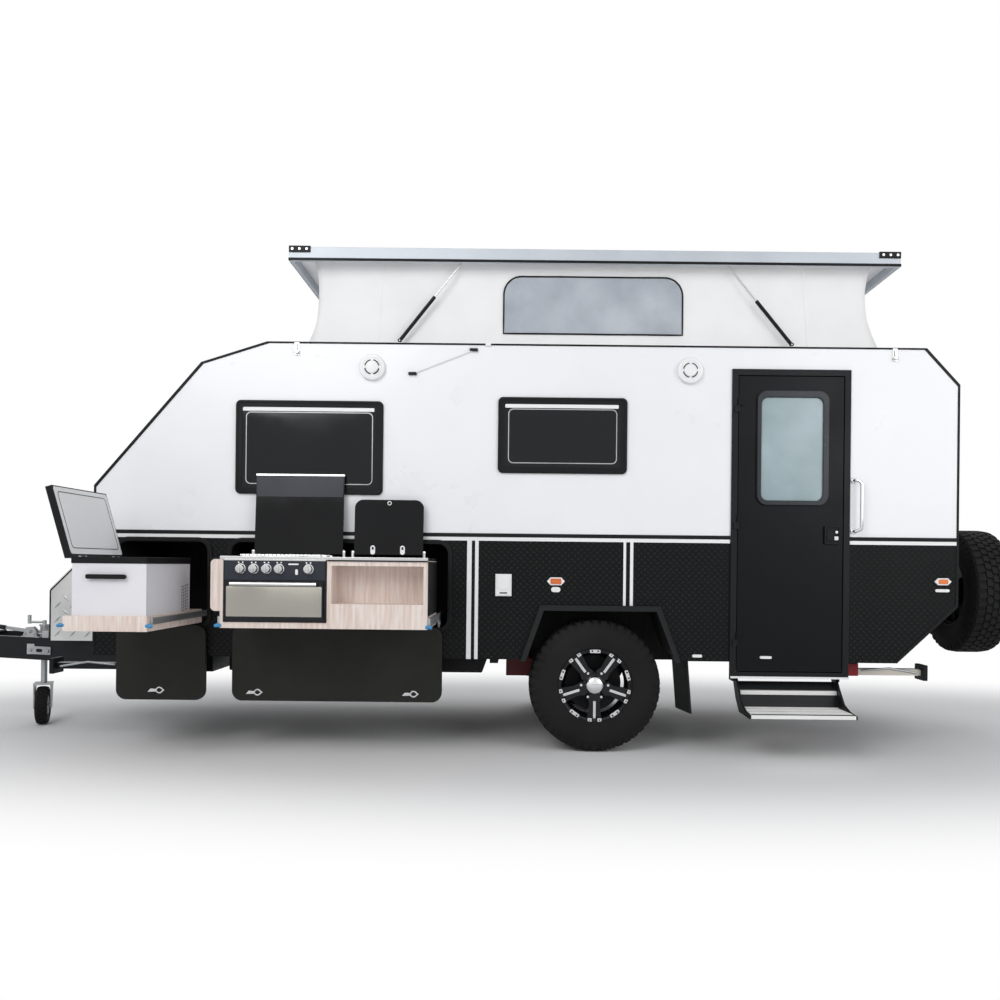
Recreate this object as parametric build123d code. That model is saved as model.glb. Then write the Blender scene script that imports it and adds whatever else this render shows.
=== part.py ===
from build123d import *
import os
from collections import namedtuple
from math import atan2, cos, degrees, hypot, pi, sin

# Lengths are in mm. X runs rearwards from the axle, Y to the far side, Z up from the ground.
AXLE_X = 4650.0  # coupling ball to axle
BALL_Z = 500.0  # coupling ball above the ground
ROW = Pos(AXLE_X, 0, -BALL_Z)  # the row frame starts at the coupling ball
SIDES = (-1, 1)  # near side, far side

# Body shell
HALF_WIDTH = 1100.0
WALL = 40.0
INNER = HALF_WIDTH - WALL
SKIRT_Z, BELT_Z, ROOF_Z = 563.0, 1296.0, 2455.0
FRONT_X, REAR_X, TAIL_X = -3018.0, 2164.0, 1800.0
NOSE_Z, BROW, TOP_FRONT_X = 1582.0, (-2383.0, 2327.0), -1988.0
TOP_REAR_X, REAR_TOP_Z, REAR_LOW_Z = 1962.0, 2237.0, 905.0
OUTLINE = [
    (FRONT_X, SKIRT_Z), (FRONT_X, NOSE_Z), BROW, (TOP_FRONT_X, ROOF_Z), (TOP_REAR_X, ROOF_Z),
    (REAR_X, REAR_TOP_Z), (REAR_X, REAR_LOW_Z), (TAIL_X, SKIRT_Z),
]
FLOOR_Z = SKIRT_Z + WALL
FLOOR_T = 40.0

# Wheels
TYRE_R, TYRE_W, RIM_R, RIM_W, RIM_T = 402.0, 265.0, 215.7, 200.0, 20.7
WHEEL_SIDES, BEAD_CLEAR = 48, 0.3
WHEEL_INSET = 170.0
WHEEL_Y = HALF_WIDTH - WHEEL_INSET
STUB_R, RUNNING = 30.0, 0.05
DRUM_R, HUB_R = 140.0, 62.0
ARM_INSET, ARM_W = 170.0, 110.0  # trailing arm, inwards from the wheel's middle
SPARE = Vector(REAR_X + 332, 520, 987)

# Chassis
RAIL_Z0, RAIL_W = 453.0, 50.0
BEAM_Z0 = 503.0
RAIL_TIP, RAIL_SLOPE, RAIL_END_X = (-4570.0, 70.0), 0.36, -2400.0
MAIN_Y, MAIN_END_X = 420.0, 1750.0
CROSS_X = (-640.0, 330.0, 1000.0, MAIN_END_X - 50)
BALL_R, SOCKET_CLEAR = 25.0, 0.3

# Jockey wheel and handbrake, on the near arm of the drawbar
JOCKEY_X, JOCKEY_OFF = -3760.0, 111.6
JOCKEY_R, JOCKEY_W, JOCKEY_TRAIL, JOCKEY_TURN = 130.0, 80.0, 45.0, -70.0
JOCKEY_HUB_R, JOCKEY_AXLE_R = 62.0, 10.0
POST_R, POST_TUBE_R, POST_TOP_Z = 28.0, 20.0, 672.0
BRAKE_X, BRAKE_LEVER = -3800.0, 260.0

# Pop-top
TOP_TRAVEL, TOP_GAP, TOP_DEPTH = 484.0, 6.0, 83.0
TOP_X0, TOP_X1 = TOP_FRONT_X + 119, TOP_REAR_X - 156
TOP_Z0 = ROOF_Z + TOP_GAP + TOP_TRAVEL
TOP_Z1 = TOP_Z0 + TOP_DEPTH
TOP_INSET, TOP_RIM, TOP_SKIN = 5.0, 25.0, 25.0
TOP_HALF = HALF_WIDTH - TOP_INSET
CANVAS_INSET, CANVAS_T, CURB = 100.0, 5.0, 80.0
CANVAS_X0, CANVAS_X1, CANVAS_HALF = TOP_X0 + 124, TOP_X1 - 106, HALF_WIDTH - CANVAS_INSET
STRUT_INSET, BARREL_R, BARREL_BORE, ROD_R, BARREL_L = 55.0, 11.0, 5.05, 5.0, 341.0
STRUT_Y = TOP_HALF - STRUT_INSET
STRUT_PIN_R = 4.0
Strut = namedtuple("Strut", "name base_x base_z eye_x eye_z")
STRUTS = [
    Strut("front", -1206.0, ROOF_Z + 28, -821.0, TOP_Z0 + 30),
    Strut("rear", 1171.0, ROOF_Z + 28, 766.0, TOP_Z0 + 30),
]

# Windows and door
Window = namedtuple("Window", "x0 x1 z0 z1")
WINDOWS = [Window(-2172.0, -1290.0, 1540.0, 2101.0), Window(-602.0, 172.0, 1680.0, 2135.0)]
FLANGE, FLANGE_T = 25.0, 15.0
PANE_T = 6.0
DOOR = Window(799.0, 1511.0, 466.0, 2318.0)
DOOR_FLANGE, DOOR_JAMB, DOOR_GAP = 12.0, 25.0, 5.0
DOOR_PANE_RIM = 22.0
DOOR_PANE = Window(DOOR.x0 + 145, DOOR.x1 - 131, DOOR.z0 + 1041, DOOR.z1 - 122)

# Wheel arches: X at the foot and at the top
ARCH_CLEAR, WELL_CLEAR = 54.0, 57.5
ARCH_Z, ARCH_FOOT_Z = 2 * TYRE_R + ARCH_CLEAR, 503.0
ARCH_TOP, ARCH_FOOT = (-316.0, 357.0), (-440.0, 492.0)
FLARE, FLARE_T = 33.0, 30.0
FLAP_W, FLAP_Z0, FLAP_TURN = 246.0, 238.0, 11.5

# Kitchen and fridge slides
KIT_REACH, KIT_CLEAR = 550.0, 60.0  # front and back of the kitchen, outwards from the wall
KIT_X0, KIT_X1, KIT_Z0, KIT_Z1 = -2077.0, -957.0, 774.0, 1146.0
KIT_Y0, KIT_Y1 = -HALF_WIDTH - KIT_REACH, -HALF_WIDTH - KIT_CLEAR
OVEN_X0, OVEN_W, OVEN_Z0 = KIT_X0 + 18, 558.0, KIT_Z0 + 33
OVEN_X1 = OVEN_X0 + OVEN_W
KNOBS_X = (96.0, 166.0, 235.0, 303.0, 461.0)  # from the oven's left side
BENCH_T, TRIVET_W, TRIVET_T = 16.0, 12.0, 13.0
LID_Y, LID_Z, LID_T, LID_LEAN = KIT_Y1 - 12, KIT_Z1 + 40, 8.0, 4.0
LIDS = [(OVEN_X0 + 25, OVEN_X1 - 10), (OVEN_X1 + 56, KIT_X1 - 79)]  # hob lid, sink lid
HOB_LID_H, SINK_LID_H = 469.0, 323.0
SINK_Y0, SINK_Y1, SINK_DEEP, SINK_T = KIT_Y1 - 286, KIT_Y1 - 36, 136.0, 4.0
FRIDGE_CLEAR, FRIDGE_L = 215.0, 600.0
FRIDGE = Window(-2742.0, -2363.0, 788.0, 1149.0)
FRIDGE_Y1 = -HALF_WIDTH - FRIDGE_CLEAR
FRIDGE_Y0, FRIDGE_WALL = FRIDGE_Y1 - FRIDGE_L, 42.0
FRIDGE_LID_T, FRIDGE_LID_OPEN = 36.0, 106.0
TRAY = Window(FRIDGE.x0 - 36, FRIDGE.x1 + 13, FRIDGE.z0 - 18, FRIDGE.z0 + 61)
TRAY_T = 13.0

# Hatches round the slides
Hatch = namedtuple("Hatch", "x0 x1 depth door_x0 door_x1")
HATCHES = [
    Hatch(KIT_X0 - 113, KIT_X1 + 63, 540.0, KIT_X0 - 94, KIT_X1 + 36),
    Hatch(TRAY.x0 - 90, TRAY.x1 + 16, 780.0, TRAY.x0 - 84, TRAY.x1 + 20),
]
HATCH_Z0, HATCH_Z1, HATCH_R, HATCH_SLEEVE, HATCH_FLANGE = KIT_Z0 - 28, KIT_Z1 + 104, 60.0, 8.0, 18.0
HATCH_DOOR_Z0, HATCH_DOOR_Z1, HATCH_DOOR_T = 305.0, HATCH_Z0 + 6, 30.0
HATCH_LIP = 12.0
LINER_T = 15.0

# Stabilisers and step
Leg = namedtuple("Leg", "name pivot_x pivot_z way")
LEGS = [Leg("front", FRONT_X + 118, SKIRT_Z - 85, -1), Leg("rear", TAIL_X - 200, SKIRT_Z - 73, 1)]
LEG_INSET, LEG_L, LEG_W = 200.0, 450.0, 50.0
LEG_Y = HALF_WIDTH - LEG_INSET
STEP_X0, STEP_X1 = DOOR.x0 + 61, DOOR.x1 - 61
STEP_INSET, STEP_ARM_T, STEP_TREAD_T = 90.0, 12.0, 16.0
STEP_PIVOT_Y, STEP_PIVOT_Z = -HALF_WIDTH + STEP_INSET, SKIRT_Z - 93
PIVOT_R = 8.0

# Toolbox
BOX_L, BOX_HALF, BOX_Z1 = 522.0, 600.0, 1130.0
BOX_X0, BOX_X1 = FRONT_X - BOX_L, FRONT_X
BOX_CHAMFER, BOX_T = 200.0, 10.0
BOX_HINGE_X, BOX_HINGE_Z = BOX_X0 + BOX_CHAMFER + 5, BOX_Z1 + 8

# Small hinges
KNUCKLE_R, HINGE_PIN_R = 6.0, 3.0
DOOR_HINGE_X = DOOR.x0 + DOOR_FLANGE + DOOR_JAMB + DOOR_GAP / 2
DOOR_HINGE_Y = -HALF_WIDTH - DOOR_FLANGE - 8
LID_PIN_R = 2.5
OVEN_HINGE_Y, OVEN_HINGE_Z = KIT_Y0 - 12, OVEN_Z0 + 14


def slab(x0, x1, y0, y1, z0, z1):
    return Pos((x0 + x1) / 2, (y0 + y1) / 2, (z0 + z1) / 2) * Box(x1 - x0, y1 - y0, z1 - z0)


def across(points, y0, y1):
    """A flat shape in X and Z, drawn out along Y."""
    return Pos(0, y1, 0) * extrude(Plane.XZ * Polygon(*points, align=None), amount=y1 - y0, dir=(0, -1, 0))


def along(points, x0, x1):
    """A flat shape in Y and Z, drawn out along X."""
    return Pos(x0, 0, 0) * extrude(Plane.YZ * Polygon(*points, align=None), amount=x1 - x0, dir=(1, 0, 0))


def rounded(x0, x1, z0, z1, radius, y0, y1):
    """A rectangle in X and Z with round corners, drawn out along Y."""
    face = Pos((x0 + x1) / 2, (z0 + z1) / 2) * RectangleRounded(x1 - x0, z1 - z0, radius)
    return Pos(0, y1, 0) * extrude(Plane.XZ * face, amount=y1 - y0, dir=(0, -1, 0))


def rod_y(x, y0, y1, z, radius):
    return Pos(x, (y0 + y1) / 2, z) * Rot(90, 0, 0) * Cylinder(radius, y1 - y0)


def rod_x(x0, x1, y, z, radius):
    return Pos((x0 + x1) / 2, y, z) * Rot(0, 90, 0) * Cylinder(radius, x1 - x0)


def far(shape):
    return mirror(shape, about=Plane.XZ)


def both(shape):
    return [shape, far(shape)]


def inner_outline(inset):
    return offset(Polygon(*OUTLINE, align=None), -inset, kind=Kind.INTERSECTION)


def prism(face, half):
    return Pos(0, half, 0) * extrude(Plane.XZ * face, amount=2 * half, dir=(0, -1, 0))


def arch(grow, y0, y1, z0=ARCH_FOOT_Z):
    top, foot = ARCH_TOP, ARCH_FOOT
    points = [
        (foot[0] - grow, ARCH_FOOT_Z), (top[0] - grow * 0.7, ARCH_Z + grow),
        (top[1] + grow * 0.7, ARCH_Z + grow), (foot[1] + grow, ARCH_FOOT_Z),
    ]
    shape = across(points, y0, y1)
    return shape & slab(foot[0] - grow, foot[1] + grow, y0, y1, z0, ARCH_Z + grow)


def side_wall(cuts):
    wall = across(OUTLINE, -HALF_WIDTH, -INNER)
    for cut in cuts:
        wall -= cut
    return wall


def wall_nodes():
    """The shell's panels, split at the belt and where the walls meet the roof."""
    low, high = -HALF_WIDTH - 5, -INNER + 5
    windows = [
        rounded(w.x0 + FLANGE, w.x1 - FLANGE, w.z0 + FLANGE, w.z1 - FLANGE, 25, low, high)
        for w in WINDOWS
    ]
    arches = [arch(0, low, high)]
    door = slab(DOOR.x0 + DOOR_FLANGE, DOOR.x1 - DOOR_FLANGE, low, high, SKIRT_Z - 1, DOOR.z1 - DOOR_FLANGE)
    grow = HATCH_SLEEVE
    hatches = [
        rounded(h.x0 - grow, h.x1 + grow, HATCH_Z0 - grow, HATCH_Z1 + grow, HATCH_R + grow, low, high)
        for h in HATCHES
    ]
    near = side_wall(windows + arches + [door] + hatches)
    away = far(side_wall(windows + arches))
    below = slab(FRONT_X, REAR_X, -HALF_WIDTH, HALF_WIDTH, SKIRT_Z, BELT_Z)
    above = slab(FRONT_X, REAR_X, -HALF_WIDTH, HALF_WIDTH, BELT_Z, ROOF_Z)
    ring = prism(Polygon(*OUTLINE, align=None), INNER) - prism(inner_outline(WALL), INNER + 1)
    front = ring & slab(FRONT_X, TOP_FRONT_X, -INNER, INNER, SKIRT_Z, ROOF_Z)
    rear = ring & slab(TAIL_X, REAR_X, -INNER, INNER, SKIRT_Z, ROOF_Z)
    front_low = front & slab(FRONT_X, FRONT_X + WALL, -INNER, INNER, FLOOR_Z, BELT_Z)
    rear_high = rear & slab(TOP_REAR_X, REAR_X, -INNER, INNER, BELT_Z, ROOF_Z)
    deck = ring & slab(TOP_FRONT_X, TOP_REAR_X, -INNER, INNER, ROOF_Z - WALL, ROOF_Z)
    hole = CANVAS_HALF - CURB
    deck -= slab(CANVAS_X0 + CURB, CANVAS_X1 - CURB, -hole, hole, ROOF_Z - WALL - 1, ROOF_Z + 1)
    for strut in STRUTS:
        for side in SIDES:
            y = side * STRUT_Y
            deck += slab(strut.base_x - 15, strut.base_x + 15, y - 15, y + 15, ROOF_Z, strut.base_z - 13)
            inboard = y - side * 13.25
            deck += slab(strut.base_x - 10, strut.base_x + 10, inboard - 1.75, inboard + 1.75, ROOF_Z, strut.base_z + 9)
            deck += rod_y(strut.base_x, y - 12, y + 12, strut.base_z, STRUT_PIN_R)
    return {
        "side_walls_upper": [near & above, away & above],
        "side_walls_lower": [near & below, away & below],
        "end_walls_upper": [front & above, rear_high],
        "end_walls_lower": [front_low, rear & below],
        "roof_deck": deck,
    }


def floor():
    panel = prism(inner_outline(WALL), INNER) & slab(FRONT_X, REAR_X, -INNER, INNER, FLOOR_Z, FLOOR_Z + FLOOR_T)
    skin = 8.0
    inside = WHEEL_Y - TYRE_W / 2 - WELL_CLEAR
    for side in SIDES:
        shell = arch(skin, -INNER, -inside + skin, FLOOR_Z)
        space = arch(0, -INNER, -inside, FLOOR_Z)
        if side > 0:
            shell, space = far(shell), far(space)
        panel = panel - shell + (shell - space)
    return panel


def arch_trims():
    ring = arch(FLARE, -HALF_WIDTH - FLARE_T, -HALF_WIDTH, SKIRT_Z - 9) - arch(0, -HALF_WIDTH - FLARE_T, -HALF_WIDTH)
    half, lean = FLAP_W / 2, 32
    flap = across([(-6, FLOOR_Z), (6, FLOOR_Z), (6 + lean, FLAP_Z0), (lean - 6, FLAP_Z0)], -half, half)
    flap = Pos(ARCH_FOOT[1] + 36, half + 8 - INNER, 0) * Rot(0, 0, FLAP_TURN) * flap
    return both(ring) + both(flap)


def ngon(radius, sides):
    """A regular outline in X and Z with one corner straight down."""
    turns = [2 * pi * (i / sides) - pi / 2 for i in range(sides)]
    return Plane.XZ * Polygon(*[(radius * cos(t), radius * sin(t)) for t in turns], align=None)


def drum_y(radius, sides, y0, y1):
    """A many-sided drum about the Y axis."""
    return Pos(0, y1, 0) * extrude(ngon(radius, sides), amount=y1 - y0, dir=(0, -1, 0))


def frustum_y(r0, r1, sides, y0, y1):
    """A many-sided frustum about the Y axis, its flanks flat."""
    slope = degrees(atan2((r0 - r1) * cos(pi / sides), y1 - y0))
    return Pos(0, y0, 0) * extrude(ngon(r0, sides), amount=y1 - y0, dir=(0, 1, 0), taper=slope)


def tyre_ring(radius, width, bore, sides):
    """A tyre about the Y axis: flat side walls, shoulders and tread."""
    half, step = width / 2, radius - bore
    rings = [(radius, half * 0.72), (bore + step * 0.87, half * 0.92), (bore + step * 0.6, half)]
    body = drum_y(radius, sides, -rings[0][1], rings[0][1])
    for (r0, y0), (r1, y1) in zip(rings, rings[1:]):
        side = frustum_y(r0, r1, sides, y0, y1)
        body += side + far(side)
    return body - drum_y(bore, sides, -half - 1, half + 1)


def rim_disc(drum):
    """A five-spoke rim about the Y axis, its face to -Y."""
    half, inside = RIM_W / 2, RIM_R - RIM_T
    rim = drum_y(RIM_R, WHEEL_SIDES, -half, half) - drum_y(inside, WHEEL_SIDES, -half - 1, half + 1)
    rim += drum_y(HUB_R, 24, 15 - half, 20)
    for i in range(5):
        spoke = slab(-27, 27, 20 - half, 52 - half, -inside - 10, -40)
        rim += Rot(0, 72 * i, 0) * spoke
    if drum:
        rim += drum_y(DRUM_R, WHEEL_SIDES, 20, 110)
        rim -= rod_y(0, 55, 120, 0, STUB_R + RUNNING)
    return rim


def wheels():
    ring = tyre_ring(TYRE_R, TYRE_W, RIM_R + BEAD_CLEAR, WHEEL_SIDES)
    tyre = Pos(0, -WHEEL_Y, TYRE_R) * ring
    rim = Pos(0, -WHEEL_Y, TYRE_R) * rim_disc(True)
    turned = Pos(SPARE.X, -SPARE.Y, SPARE.Z) * Rot(0, 0, 90)
    spare_tyre = turned * ring
    spare_rim = turned * rim_disc(False)
    return {
        "near_tyre": tyre, "near_rim": rim, "far_tyre": far(tyre), "far_rim": far(rim),
        "spare_tyres": both(spare_tyre), "spare_rims": both(spare_rim),
    }


def rail_y(x):
    return RAIL_TIP[1] + RAIL_SLOPE * (x - RAIL_TIP[0])


def drawbar_rail():
    """One arm of the drawbar, from its tip back to the front crossmember, on the near side."""
    turn = degrees(atan2(-RAIL_SLOPE, 1))
    length = (RAIL_END_X - RAIL_TIP[0]) * hypot(1, RAIL_SLOPE) + 290
    bar = Pos(length / 2 - 100, 0, 0) * Box(length, RAIL_W, FLOOR_Z - RAIL_Z0)
    bar = Pos(RAIL_TIP[0], -RAIL_TIP[1], (RAIL_Z0 + FLOOR_Z) / 2) * Rot(0, 0, turn) * bar
    return bar & slab(RAIL_TIP[0], RAIL_END_X, -HALF_WIDTH, HALF_WIDTH, RAIL_Z0, FLOOR_Z)


def chassis():
    main = slab(RAIL_END_X + 50, MAIN_END_X, -MAIN_Y - RAIL_W / 2, -MAIN_Y + RAIL_W / 2, BEAM_Z0, FLOOR_Z)
    cross = [slab(RAIL_END_X, RAIL_END_X + 50, 150 - HALF_WIDTH, HALF_WIDTH - 150, RAIL_Z0, FLOOR_Z)]
    inside, outside = MAIN_Y - RAIL_W / 2, MAIN_Y + RAIL_W / 2
    for x in CROSS_X:
        cross.append(slab(x, x + 50, -inside, inside, BEAM_Z0, FLOOR_Z))
    for x in CROSS_X[0::2]:
        cross += both(slab(x, x + 50, -INNER + 20, -outside, BEAM_Z0 + 30, FLOOR_Z))
    for x0, x1 in ((STEP_X0 - 30, STEP_X0 - 17), (STEP_X1 + 17, STEP_X1 + 30)):
        bracket = slab(x0, x1, -INNER + 10, -INNER + 100, STEP_PIVOT_Z - 30, FLOOR_Z)
        reach = (x1, STEP_X0 + 4) if x0 < STEP_X0 else (STEP_X1 - 4, x0)
        cross.append(bracket + rod_x(*reach, STEP_PIVOT_Y, STEP_PIVOT_Z, PIVOT_R))
    for leg in LEGS:
        block = slab(leg.pivot_x - 30, leg.pivot_x + 30, -LEG_Y - 45, -LEG_Y + 45, leg.pivot_z - 22, FLOOR_Z)
        block -= slab(leg.pivot_x - 99, leg.pivot_x + 99, -LEG_Y - 30, -LEG_Y + 30, 0, leg.pivot_z + 36)
        block += rod_y(leg.pivot_x, -LEG_Y - 40, -LEG_Y + 40, leg.pivot_z, PIVOT_R)
        cross += both(block)
    x0, x1, low = RAIL_END_X + 150, CROSS_X[0], BEAM_Z0 - 40
    tank = across([(x0, low), (x1 - 50, low), (x1 - 2, FLOOR_Z), (x0, FLOOR_Z)], -INNER + 110, -outside - 5)
    return {
        "drawbar_rails": both(drawbar_rail()),
        "main_rails": both(main),
        "crossmembers": cross,
        "water_tanks": both(tank),
    }


def coupling():
    """A ball coupling: its socket opens downwards, its plate lies on the drawbar's tips."""
    x = -AXLE_X
    head = Pos(x, 0, BALL_Z + 18) * Cylinder(46, 76)
    shank = slab(x, RAIL_TIP[0] + 160, -30, 30, BALL_Z + 20, FLOOR_Z)
    plate = slab(RAIL_TIP[0] - 20, RAIL_TIP[0] + 320, -150, 150, FLOOR_Z, FLOOR_Z + 10)
    lever = slab(x - 20, x + 210, -14, 14, FLOOR_Z + 10, FLOOR_Z + 34)
    riser = slab(x + 60, x + 140, -22, 22, BALL_Z + 50, FLOOR_Z + 12)
    bore = BALL_R + SOCKET_CLEAR
    socket = Pos(x, 0, BALL_Z - 10) * Cylinder(bore, 40)
    socket += Pos(x, 0, BALL_Z + 10 + 9) * Cone(bore, 10, 18)
    return head + shank + plate + lever + riser - socket


def jockey():
    """The jockey wheel: its tube clamped to the near rail, its fork free to swivel below."""
    x, y = JOCKEY_X, JOCKEY_OFF - rail_y(JOCKEY_X)
    foot, top = 330.0, POST_TOP_Z
    post = Pos(x, y, (foot + top) / 2) * Cylinder(POST_TUBE_R, top - foot)
    post += Pos(x, y, (RAIL_Z0 + top) / 2) * Cylinder(POST_R, top - RAIL_Z0)
    post += slab(x - 45, x + 45, y - JOCKEY_OFF - 28.4, y, 490, 560) - drawbar_rail()
    post += Pos(x, y, top + 6) * Cylinder(POST_R + 5, 12)
    post += rod_x(x - 105, x, y, top + 27, 8) + Pos(x, y, top + 20) * Cylinder(13, 40)
    post += Pos(x - 105, y, top + 46) * Cylinder(12, 60)
    place = Pos(x, y, 0) * Rot(0, 0, JOCKEY_TURN)
    side, trail, hub = JOCKEY_W / 2 + 8, JOCKEY_TRAIL, JOCKEY_HUB_R
    fork = Pos(0, 0, 306) * Cylinder(POST_TUBE_R, 47)
    fork += slab(-35, trail + 40, -side - 8, side + 8, 272, 284)
    for s in SIDES:
        cheek = across([(trail - 25, 110), (trail + 25, 110), (trail + 35, 284), (-20, 284)], -8, 0)
        fork += Pos(0, s * side + (8 if s > 0 else 0), 0) * cheek
    fork += rod_y(trail, -side, side, JOCKEY_R, JOCKEY_AXLE_R)
    wheel = tyre_ring(JOCKEY_R, JOCKEY_W, hub, 36) + drum_y(hub + 2, 36, -32, 32)
    wheel -= rod_y(0, -60, 60, 0, JOCKEY_AXLE_R + RUNNING)
    wheel = Pos(trail, 0, JOCKEY_R) * wheel
    return {"jockey_post": post, "jockey_fork": place * fork, "jockey_wheel": place * wheel}


def handbrake():
    """The handbrake: a lever pinned between two quadrant plates on the near rail."""
    cheek = across([(-60, 0), (70, 0), (60, 40), (20, 72), (-30, 66)], -3, 3)
    lever = Pos(10, 0, 40) * Rot(0, 4, 0) * Pos(-BRAKE_LEVER / 2, 0, 0) * Box(BRAKE_LEVER, 12, 22)
    grip = Pos(10, 0, 40) * Rot(0, 4, 0) * rod_x(-BRAKE_LEVER - 100, 10 - BRAKE_LEVER, 0, 0, 14)
    shape = slab(-70, 90, -20, 20, 0, 6) + Pos(0, -15, 0) * cheek + Pos(0, 15, 0) * cheek
    shape += lever + grip + rod_y(10, -24, 24, 40, 8)
    turn = degrees(atan2(-RAIL_SLOPE, 1))
    return Pos(BRAKE_X, -rail_y(BRAKE_X), FLOOR_Z) * Rot(0, 0, turn) * shape


def toolbox():
    c = BOX_CHAMFER
    points = [
        (BOX_X0, FLOOR_Z), (BOX_X1, FLOOR_Z), (BOX_X1, BOX_Z1), (BOX_X0 + c, BOX_Z1), (BOX_X0, BOX_Z1 - c),
    ]
    face = Polygon(*points, align=None)
    box = prism(face, BOX_HALF) - prism(offset(face, -BOX_T, kind=Kind.INTERSECTION), BOX_HALF - BOX_T)
    cut = Pos(BOX_X0 + c / 2, 0, BOX_Z1 - c / 2) * Rot(0, -45, 0)
    length = c * 2 ** 0.5
    box -= cut * Box(length - 50, 2 * BOX_HALF - 60, 60)
    lid = cut * (Pos(0, 0, 7) * Box(length - 4, 2 * BOX_HALF - 8, 10))
    for y in (180 - BOX_HALF, BOX_HALF - 180):
        box += rod_y(BOX_HINGE_X, y - 60, y - 21, BOX_HINGE_Z, KNUCKLE_R) + rod_y(BOX_HINGE_X, y + 21, y + 60, BOX_HINGE_Z, KNUCKLE_R)
        for y0, y1 in ((y - 60, y - 21), (y + 21, y + 60)):
            box += slab(BOX_HINGE_X - 2, BOX_HINGE_X + 26, y0, y1, BOX_Z1, BOX_HINGE_Z - 2)
        box += rod_y(BOX_HINGE_X, y - 40, y + 40, BOX_HINGE_Z, HINGE_PIN_R)
        leaf = rod_y(BOX_HINGE_X, y - 20, y + 20, BOX_HINGE_Z, KNUCKLE_R)
        leaf += slab(BOX_HINGE_X - 18, BOX_HINGE_X, y - 20, y + 20, BOX_HINGE_Z - 4, BOX_HINGE_Z + 2)
        lid += leaf - rod_y(BOX_HINGE_X, y - 30, y + 30, BOX_HINGE_Z, HINGE_PIN_R + RUNNING)
    return {"toolbox": box, "toolbox_lid": lid}


def suspension():
    y0 = ARM_INSET - WHEEL_Y
    y1, hub = y0 + ARM_W, TYRE_R
    points = [
        (-545, hub + 23), (-420, hub + 23), (20, hub - 40), (42, hub), (20, hub + 40), (-400, hub + 138),
        (-545, hub + 138),
    ]
    arm = across(points, y0, y1) + slab(-545, -400, y0, y1, hub + 98, FLOOR_Z)
    arm += rod_y(0, -WHEEL_Y + 60, y0 + 5, hub, STUB_R)
    x, y, low = -150, (y0 + y1) / 2, hub + 76
    coil = Pos(x, y, low) * extrude(RegularPolygon(46, 16), amount=FLOOR_Z - low, dir=(0, 0, 1))
    for i in range(4):
        turn = extrude(RegularPolygon(62, 16), amount=14, dir=(0, 0, 1))
        coil += Pos(x, y, low + 12 + 28 * i) * turn
    return {"trailing_arms": both(arm), "spring_units": both(coil - arm)}


def spare_carrier():
    back, z = REAR_X + 66, SPARE.Z
    points = [
        (MAIN_END_X, BEAM_Z0), (TAIL_X + 15, BEAM_Z0), (back, REAR_LOW_Z - 12), (back, z + 63), (REAR_X, z + 63),
        (REAR_X, REAR_LOW_Z), (TAIL_X, SKIRT_Z), (MAIN_END_X, SKIRT_Z),
    ]
    arm = across(points, -MAIN_Y - RAIL_W / 2, -MAIN_Y + RAIL_W / 2)
    frame = arm + far(arm) + slab(REAR_X, back, -SPARE.Y - 200, SPARE.Y + 200, z - 47, z + 53)
    for side in SIDES:
        frame += rod_x(back - 30, SPARE.X - 20, side * SPARE.Y, z, 55)
    return frame


def pop_top():
    top = slab(TOP_X0, TOP_X1, -TOP_HALF, TOP_HALF, TOP_Z0, TOP_Z1)
    half = TOP_HALF - TOP_RIM
    under = TOP_Z1 - TOP_SKIN
    top -= slab(TOP_X0 + TOP_RIM, TOP_X1 - TOP_RIM, -half, half, TOP_Z0 - 1, under)
    for strut in STRUTS:
        for side in SIDES:
            y = side * (STRUT_Y + 19)
            top += slab(strut.eye_x - 14, strut.eye_x + 14, y - 6, y + 6, strut.eye_z - 14, under)
    outer = slab(CANVAS_X0, CANVAS_X1, -CANVAS_HALF, CANVAS_HALF, ROOF_Z, under)
    t = CANVAS_T
    inner = slab(CANVAS_X0 + t, CANVAS_X1 - t, -CANVAS_HALF + t, CANVAS_HALF - t, ROOF_Z - 1, under + 1)
    nodes = {"pop_top": top, "canvas": outer - inner}
    for strut in STRUTS:
        run, rise = strut.eye_x - strut.base_x, strut.eye_z - strut.base_z
        length = hypot(run, rise)
        place = Pos(strut.base_x, -STRUT_Y, strut.base_z) * Rot(0, degrees(atan2(run, rise)), 0)
        barrel = extrude(RegularPolygon(BARREL_R, 16), amount=BARREL_L, dir=(0, 0, 1)) + drum_y(BARREL_R + 1, 16, -10, 10)
        barrel -= Pos(0, 0, 20 + BARREL_L / 2) * Cylinder(BARREL_BORE, BARREL_L)
        barrel -= rod_y(0, -20, 20, 0, STRUT_PIN_R + RUNNING)
        start = BARREL_L - 70
        rod = Pos(0, 0, (start + length) / 2) * Cylinder(ROD_R, length - start) + rod_y(0, -10, 10, length, 10)
        nodes["strut_barrels_" + strut.name] = both(place * barrel)
        nodes["strut_rods_" + strut.name] = both(place * rod)
    return nodes


def windows():
    frames, panes = [], []
    out, mid = -HALF_WIDTH - FLANGE_T, -HALF_WIDTH
    for w in WINDOWS:
        frame = rounded(w.x0, w.x1, w.z0, w.z1, 30, out, mid)
        f = FLANGE
        frame += rounded(w.x0 + f, w.x1 - f, w.z0 + f, w.z1 - f, 25, mid, -INNER)
        f = FLANGE + 14
        hole = rounded(w.x0 + f, w.x1 - f, w.z0 + f, w.z1 - f, 20, out - 1, -INNER + 1)
        frames += both(frame - hole)
        panes += both(rounded(w.x0 + f, w.x1 - f, w.z0 + f, w.z1 - f, 20, out + 3, out + 3 + PANE_T))
    return {"window_frames": frames, "window_panes": panes}


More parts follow.
